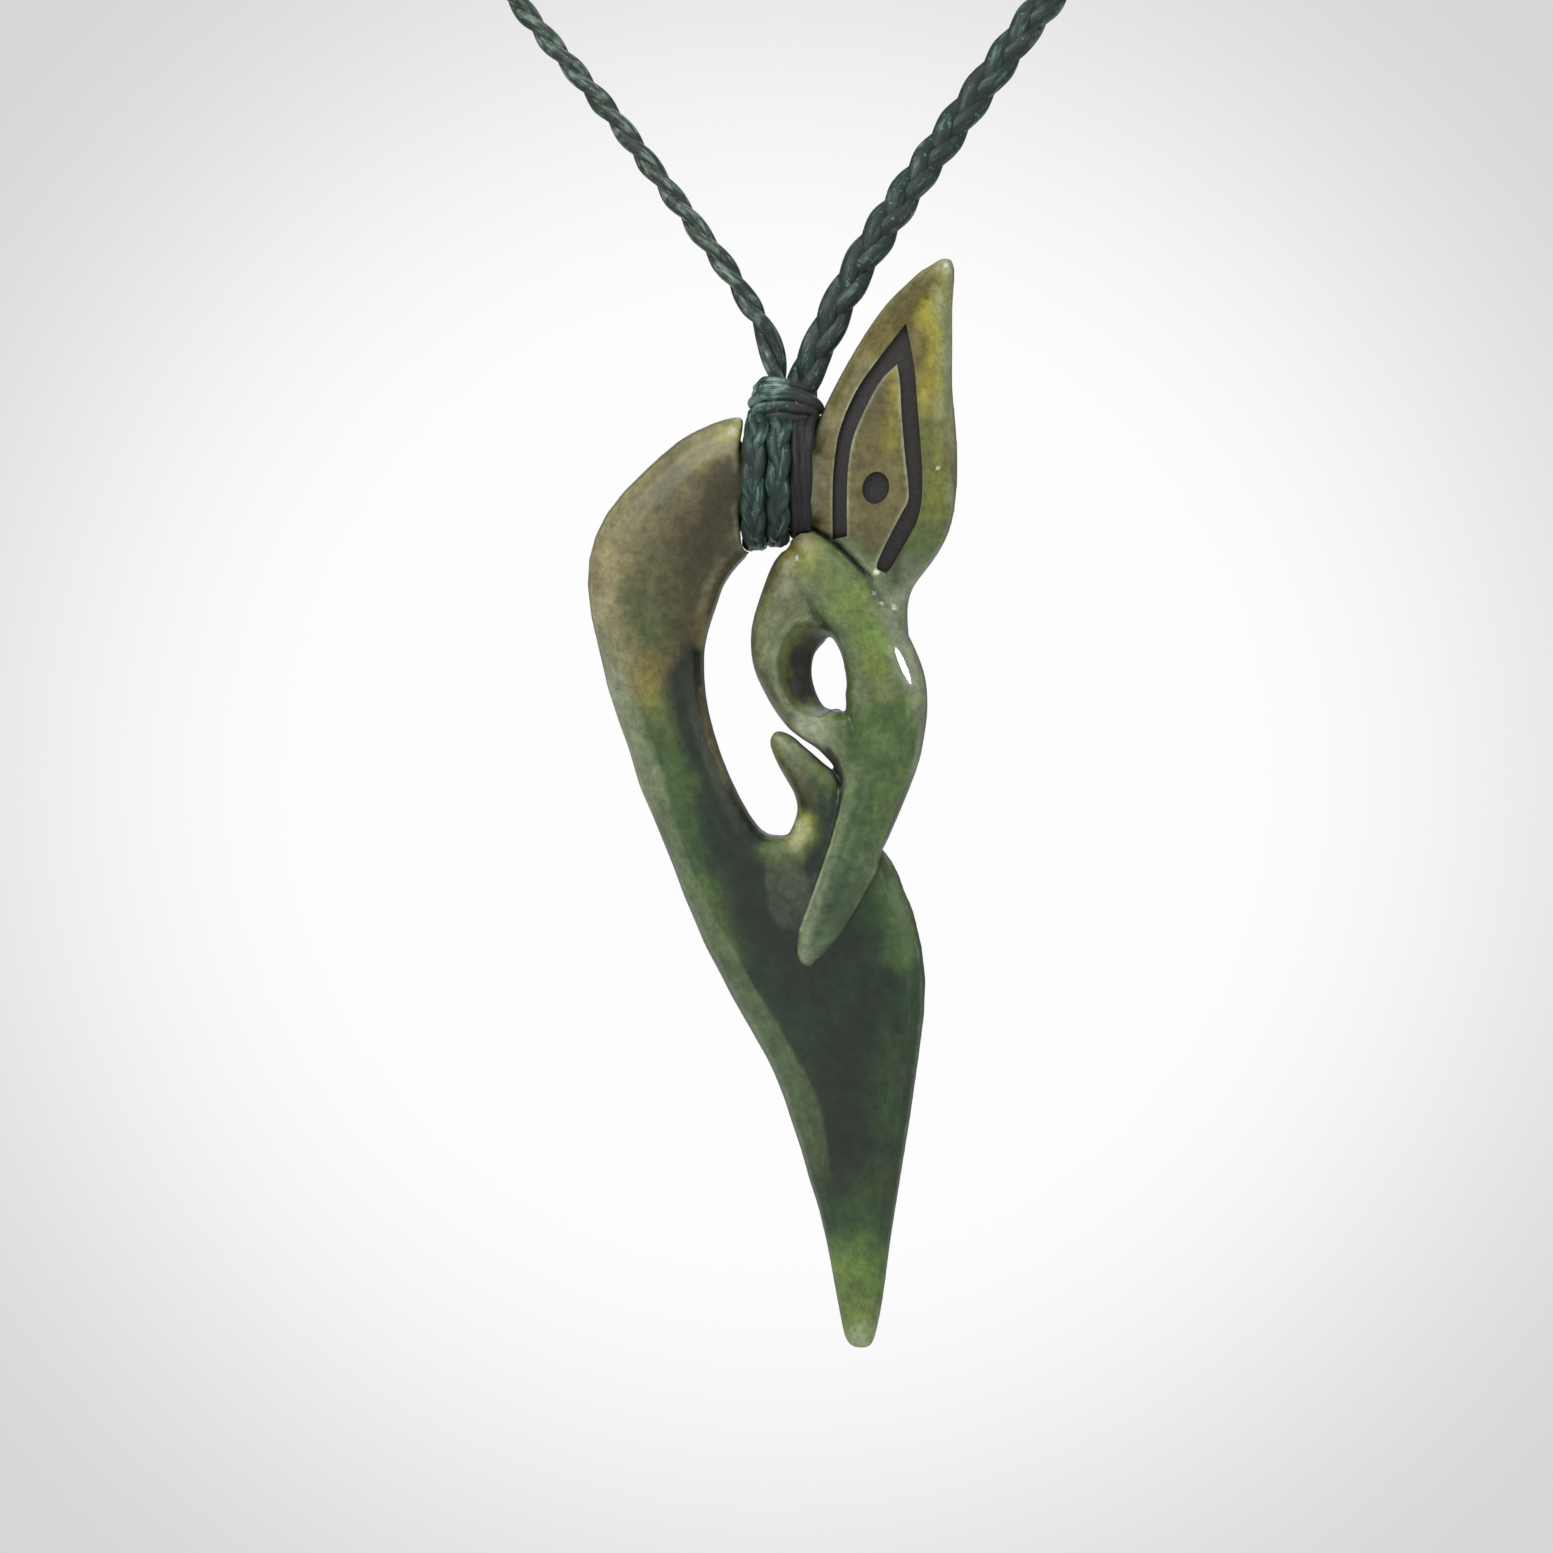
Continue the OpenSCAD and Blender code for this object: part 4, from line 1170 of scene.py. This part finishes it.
class PENDANT_OT_wind_lashing(bpy.types.Operator):
    """Wind two plaited turns and one plain turn, painted nearly black as shade, round the stone's
    bridge
    """

    bl_idname = "pendant.wind_lashing"
    bl_label = "Wind Lashing"

    def execute(self, context):
        cord = context.scene.pendant_cord
        dark, black = tuple(cord.plaited_dark), tuple(cord.black)
        waxed = thread_material("lashing_thread", dark, tuple(cord.plaited_light), 0.4, 0.24)
        plain = thread_material("black_thread", black, tuple(1.3 * c for c in black), 0.3, 0.5)
        for name, *sizes in LASHING_TURNS:
            # The right turn is painted nearly black as shade beside the head
            material, slot = (plain, "dark_cord") if name == "right" else (waxed, "waxed_cord")
            turn = bundle(name + "_turn", wound_ring(*sizes), material)
            finish_piece(turn, swing["parent"], "lashing_turn_" + name)
        return {"FINISHED"}


class PENDANT_OT_wind_collar(bpy.types.Operator):
    """Wind the collar round both cords above the bridge"""

    bl_idname = "pendant.wind_collar"
    bl_label = "Wind Collar"

    def execute(self, context):
        cord = context.scene.pendant_cord
        dark, light = tuple(cord.plaited_dark), tuple(cord.collar_light)
        material = thread_material("collar_thread", dark, light, 0.75, 0.24)
        strands = [collar_turn(*sizes, start=30 * k) for k, sizes in enumerate(COLLAR_TURNS)]

        # Painted shade: the collar's right side, beside the head, and its lowest turns are coloured
        # near black
        def shade(places):
            right = smooth(places[:, 0], 0.3, 1.0)
            low = 1 - smooth(places[:, 2] - hinge.z / MM, 4.2, 4.8)
            return np.maximum(right, low)

        collar = bundle("collar", strands, material, shade)
        finish_piece(collar, swing["parent"], "collar_wrap")
        return {"FINISHED"}


class PENDANT_OT_twist_cord(bpy.types.Operator):
    """Twist the thin two-ply cord at the left, from the collar to the nape"""

    bl_idname = "pendant.twist_cord"
    bl_label = "Twist Cord"

    def execute(self, context):
        cord = context.scene.pendant_cord
        route = TWISTED_START + [(-x, y, z) for x, y, z in NECK_ROUTE]
        points, run = evenly(eased(route, 40) * MM, 0.3 * MM)
        side, out = carried_axes(points, FRONT)
        # Before the last crossing the plies run to the collar straighter and further apart
        last_crossing = 5.3 * MM
        turned = run - last_crossing
        turned[turned < 0] *= 0.68
        loose = 1 + 0.5 * (1 - smooth(run, last_crossing, 1.3 * last_crossing))[:, None]
        strands = []
        for k in range(2):
            phase = (2 * math.pi * turned / cord.ply_pitch + math.pi * (k + 0.5))[:, None]
            ply = points + cord.ply_offset * loose * (side * np.cos(phase) + out * np.sin(phase))
            ply = wavering(ply / MM, 1.6, 0.06, 9 * k) * MM
            strands.append(tube(ply, cord.ply_radius, 3, start=500 * k))
        dark, light = tuple(cord.twisted_dark), tuple(cord.twisted_light)
        shade_colour = tuple(cord.twisted_hollow_shade)
        material = thread_material("twisted_thread", dark, light, 0.55, shade_colour=shade_colour)
        twisted = bundle("twisted_neck_cord", strands, material, hollow_shade(points, 0.2, 0.5))
        finish_piece(twisted, swing["parent"], "twisted_cord")
        return {"FINISHED"}


class PENDANT_OT_braid_cord(bpy.types.Operator):
    """Braid the thick cord at the right, from the collar to the nape"""

    bl_idname = "pendant.braid_cord"
    bl_label = "Braid Cord"

    def execute(self, context):
        cord = context.scene.pendant_cord
        points, run = evenly(eased(BRAIDED_START + NECK_ROUTE, 40) * MM, 0.35 * MM)
        side, out = carried_axes(points, FRONT)
        strands = []
        for k in range(3):
            phase = (2 * math.pi * run / cord.braid_period + 2 * math.pi * k / 3)[:, None]
            path = points + cord.braid_width * side * np.sin(phase)
            path = path + 0.5 * cord.braid_width * out * np.sin(2 * phase)
            path = wavering(path / MM, 1.8, 0.08, 9 * k) * MM
            strands.append(tube(path, cord.braid_radius, 3, start=500 * k))
        dark, light = tuple(cord.plaited_dark), tuple(cord.plaited_light)
        shade_colour = tuple(cord.braid_hollow_shade)
        material = thread_material("braided_thread", dark, light, 0.36, 0.3, shade_colour, 0.66)
        braided = bundle("braided_neck_cord", strands, material, hollow_shade(points, 0.6, 0.95))
        finish_piece(braided, swing["parent"], "braided_cord")
        return {"FINISHED"}


class PENDANT_OT_wind_knot(bpy.types.Operator):
    """Wind the barrel knot that closes the loop at the nape"""

    bl_idname = "pendant.wind_knot"
    bl_label = "Wind Knot"

    def execute(self, context):
        cord = context.scene.pendant_cord
        low, high = (Vector(corner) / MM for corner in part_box("nape_knot"))
        middle = (low + high) / 2
        strand = 0.66
        turns = 4.4
        angle = np.linspace(0, turns * 2 * math.pi, round(turns * 48))
        reach = (high.z - low.z) / 2 - strand
        coil = np.column_stack([
            np.linspace(low.x + strand, high.x - strand, len(angle)),
            middle.y + reach * np.cos(angle),
            middle.z + reach * np.sin(angle),
        ])
        dark, light = tuple(cord.plaited_dark), tuple(cord.plaited_light)
        material = thread_material("knot_thread", dark, light, 0.45)
        knot = bundle("nape_knot_coil", [tube(coil * MM, strand * MM, 3)], material)
        finish_piece(knot, swing["parent"], "nape_knot")
        return {"FINISHED"}


# The stage


def add_light(name, aim, offset, size, watts):
    """A rectangular lamp that stands at an offset from the place that it aims at."""
    light = bpy.data.lights.new(name, "AREA")
    light.shape = "RECTANGLE"
    light.size, light.size_y = size
    light.energy = watts
    lamp = new_object(name, light)
    lamp.location = aim + Vector(offset)
    lamp.rotation_euler = (-Vector(offset)).to_track_quat("-Z", "Y").to_euler()
    lamp.visible_camera = False


class PENDANT_OT_set_stage(bpy.types.Operator):
    """Set the pale floor, the soft studio lights, the backdrop and the camera"""

    bl_idname = "pendant.set_stage"
    bl_label = "Set Stage"

    def execute(self, context):
        stage = context.scene.pendant_stage
        middle_x, middle_z = PICTURE_MIDDLE
        centre = Vector((middle_x * MM, hinge.y, middle_z * MM))
        self.add_camera(context.scene, stage, centre)
        self.add_floor(stage)
        self.add_world(context.scene, stage)
        add_light("key_softbox", centre, (-0.35, -0.45, 0.9), (0.8, 0.8), 8.0)
        add_light("back_softbox", centre, (0.3, 0.8, 0.7), (0.8, 0.8), 2.0)
        add_light("left_lamp", centre, (-0.35, -0.8, 0.6), (0.09, 0.09), 0.65)
        add_light("right_lamp", centre, (0.8, -0.31, 0.26), (0.05, 0.064), 0.36)
        context.scene.view_settings.view_transform = "Standard"
        return {"FINISHED"}

    def add_camera(self, scene, stage, centre):
        camera = bpy.data.cameras.new("camera")
        camera.sensor_width = 36
        camera.lens = camera.sensor_width * stage.view_distance / stage.view_width
        camera.clip_start, camera.clip_end = 0.1, 50
        obj = new_object("camera", camera)
        obj.location = centre + FRONT * stage.view_distance
        obj.rotation_euler = (math.radians(90), 0, 0)
        scene.camera = obj

    def add_floor(self, stage):
        shape = bmesh.new()
        place = Matrix.Translation((0, 0, -stage.floor_drop))
        bmesh.ops.create_circle(shape, cap_ends=True, segments=96, radius=3, matrix=place)
        floor = new_object("floor", mesh_from(shape, "floor"))
        material, tree, shader = new_material("floor_paper", Roughness=0.9)
        grain = noise(tree, millimetre_place(tree), 0.02, 2)
        pale = blend_colours(tree, grain, (0.8, 0.8, 0.8), (0.84, 0.84, 0.84))
        tree.links.new(pale, shader.inputs["Base Color"])
        floor.data.materials.append(material)

    def add_world(self, scene, stage):
        """A pale backdrop that darkens away from straight behind the stone, and dim room light."""
        world = bpy.data.worlds.new("studio")
        world.use_nodes = True
        scene.world = world
        tree = world.node_tree
        tree.nodes.clear()
        way = add_node(tree, "ShaderNodeTexCoord").outputs["Generated"]
        parts = add_node(tree, "ShaderNodeSeparateXYZ", {"Vector": way}).outputs
        behind = math_node(tree, "MAXIMUM", parts["Y"], 0.001)
        across = math_node(tree, "DIVIDE", parts["X"], behind)
        up = math_node(tree, "DIVIDE", parts["Z"], behind)
        spot = add_node(tree, "ShaderNodeCombineXYZ", {"X": across, "Y": up})
        reach = vector_node(tree, "LENGTH", {0: spot.outputs[0]}, "Value")
        half = stage.view_width / 2 / stage.view_distance
        # Painted shade: the backdrop seen by the camera is painted darker towards the corners of the
        # picture
        edge = ramp(tree, reach, 0.56 * half, 1.4 * half)
        shown = blend_colours(tree, edge, tuple(stage.backdrop), tuple(stage.corner))
        seen = add_node(tree, "ShaderNodeBackground", {"Color": shown})
        ahead = ramp(tree, parts["Y"], -0.35, 0.4, stage.room_light, stage.room_dark)
        overhead = math_node(tree, "MULTIPLY_ADD", parts["Z"], 0.25, 1.0)
        strength = math_node(tree, "MULTIPLY", ahead, overhead)
        room = add_node(tree, "ShaderNodeBackground", {"Color": (1, 1, 1, 1), "Strength": strength})
        ray = add_node(tree, "ShaderNodeLightPath").outputs["Is Camera Ray"]
        mixed = {0: ray, 1: room.outputs[0], 2: seen.outputs[0]}
        both = add_node(tree, "ShaderNodeMixShader", mixed)
        add_node(tree, "ShaderNodeOutputWorld", {"Surface": both.outputs[0]})


# The add-on


class PENDANT_PT_panel(bpy.types.Panel):
    bl_label = "Carved Stone Pendant"
    bl_space_type = "VIEW_3D"
    bl_region_type = "UI"
    bl_category = "Pendant"

    def draw(self, context):
        for name in ("pendant_stone", "pendant_cord", "pendant_stage"):
            settings = getattr(context.scene, name)
            box = self.layout.box()
            for prop in settings.bl_rna.properties:
                if prop.identifier not in ("rna_type", "name"):
                    box.prop(settings, prop.identifier)
        for operator in OPERATORS:
            self.layout.operator(operator.bl_idname)


OPERATORS = (
    PENDANT_OT_set_stage,
    PENDANT_OT_twist_cord,
    PENDANT_OT_braid_cord,
    PENDANT_OT_wind_knot,
    PENDANT_OT_wind_collar,
    PENDANT_OT_wind_lashing,
    PENDANT_OT_carve_stone,
)
SETTINGS = {
    "pendant_stone": StoneSettings,
    "pendant_cord": CordSettings,
    "pendant_stage": StageSettings,
}


def register():
    for group in (*SETTINGS.values(), *OPERATORS, PENDANT_PT_panel):
        bpy.utils.register_class(group)
    for name, group in SETTINGS.items():
        setattr(bpy.types.Scene, name, PointerProperty(type=group))


def unregister():
    for name in SETTINGS:
        delattr(bpy.types.Scene, name)
    for group in (PENDANT_PT_panel, *reversed(OPERATORS), *reversed(SETTINGS.values())):
        bpy.utils.unregister_class(group)


def main():
    register()
    for operator in OPERATORS:
        getattr(bpy.ops.pendant, operator.bl_idname.split(".")[1])()


if __name__ == "__main__":
    main()
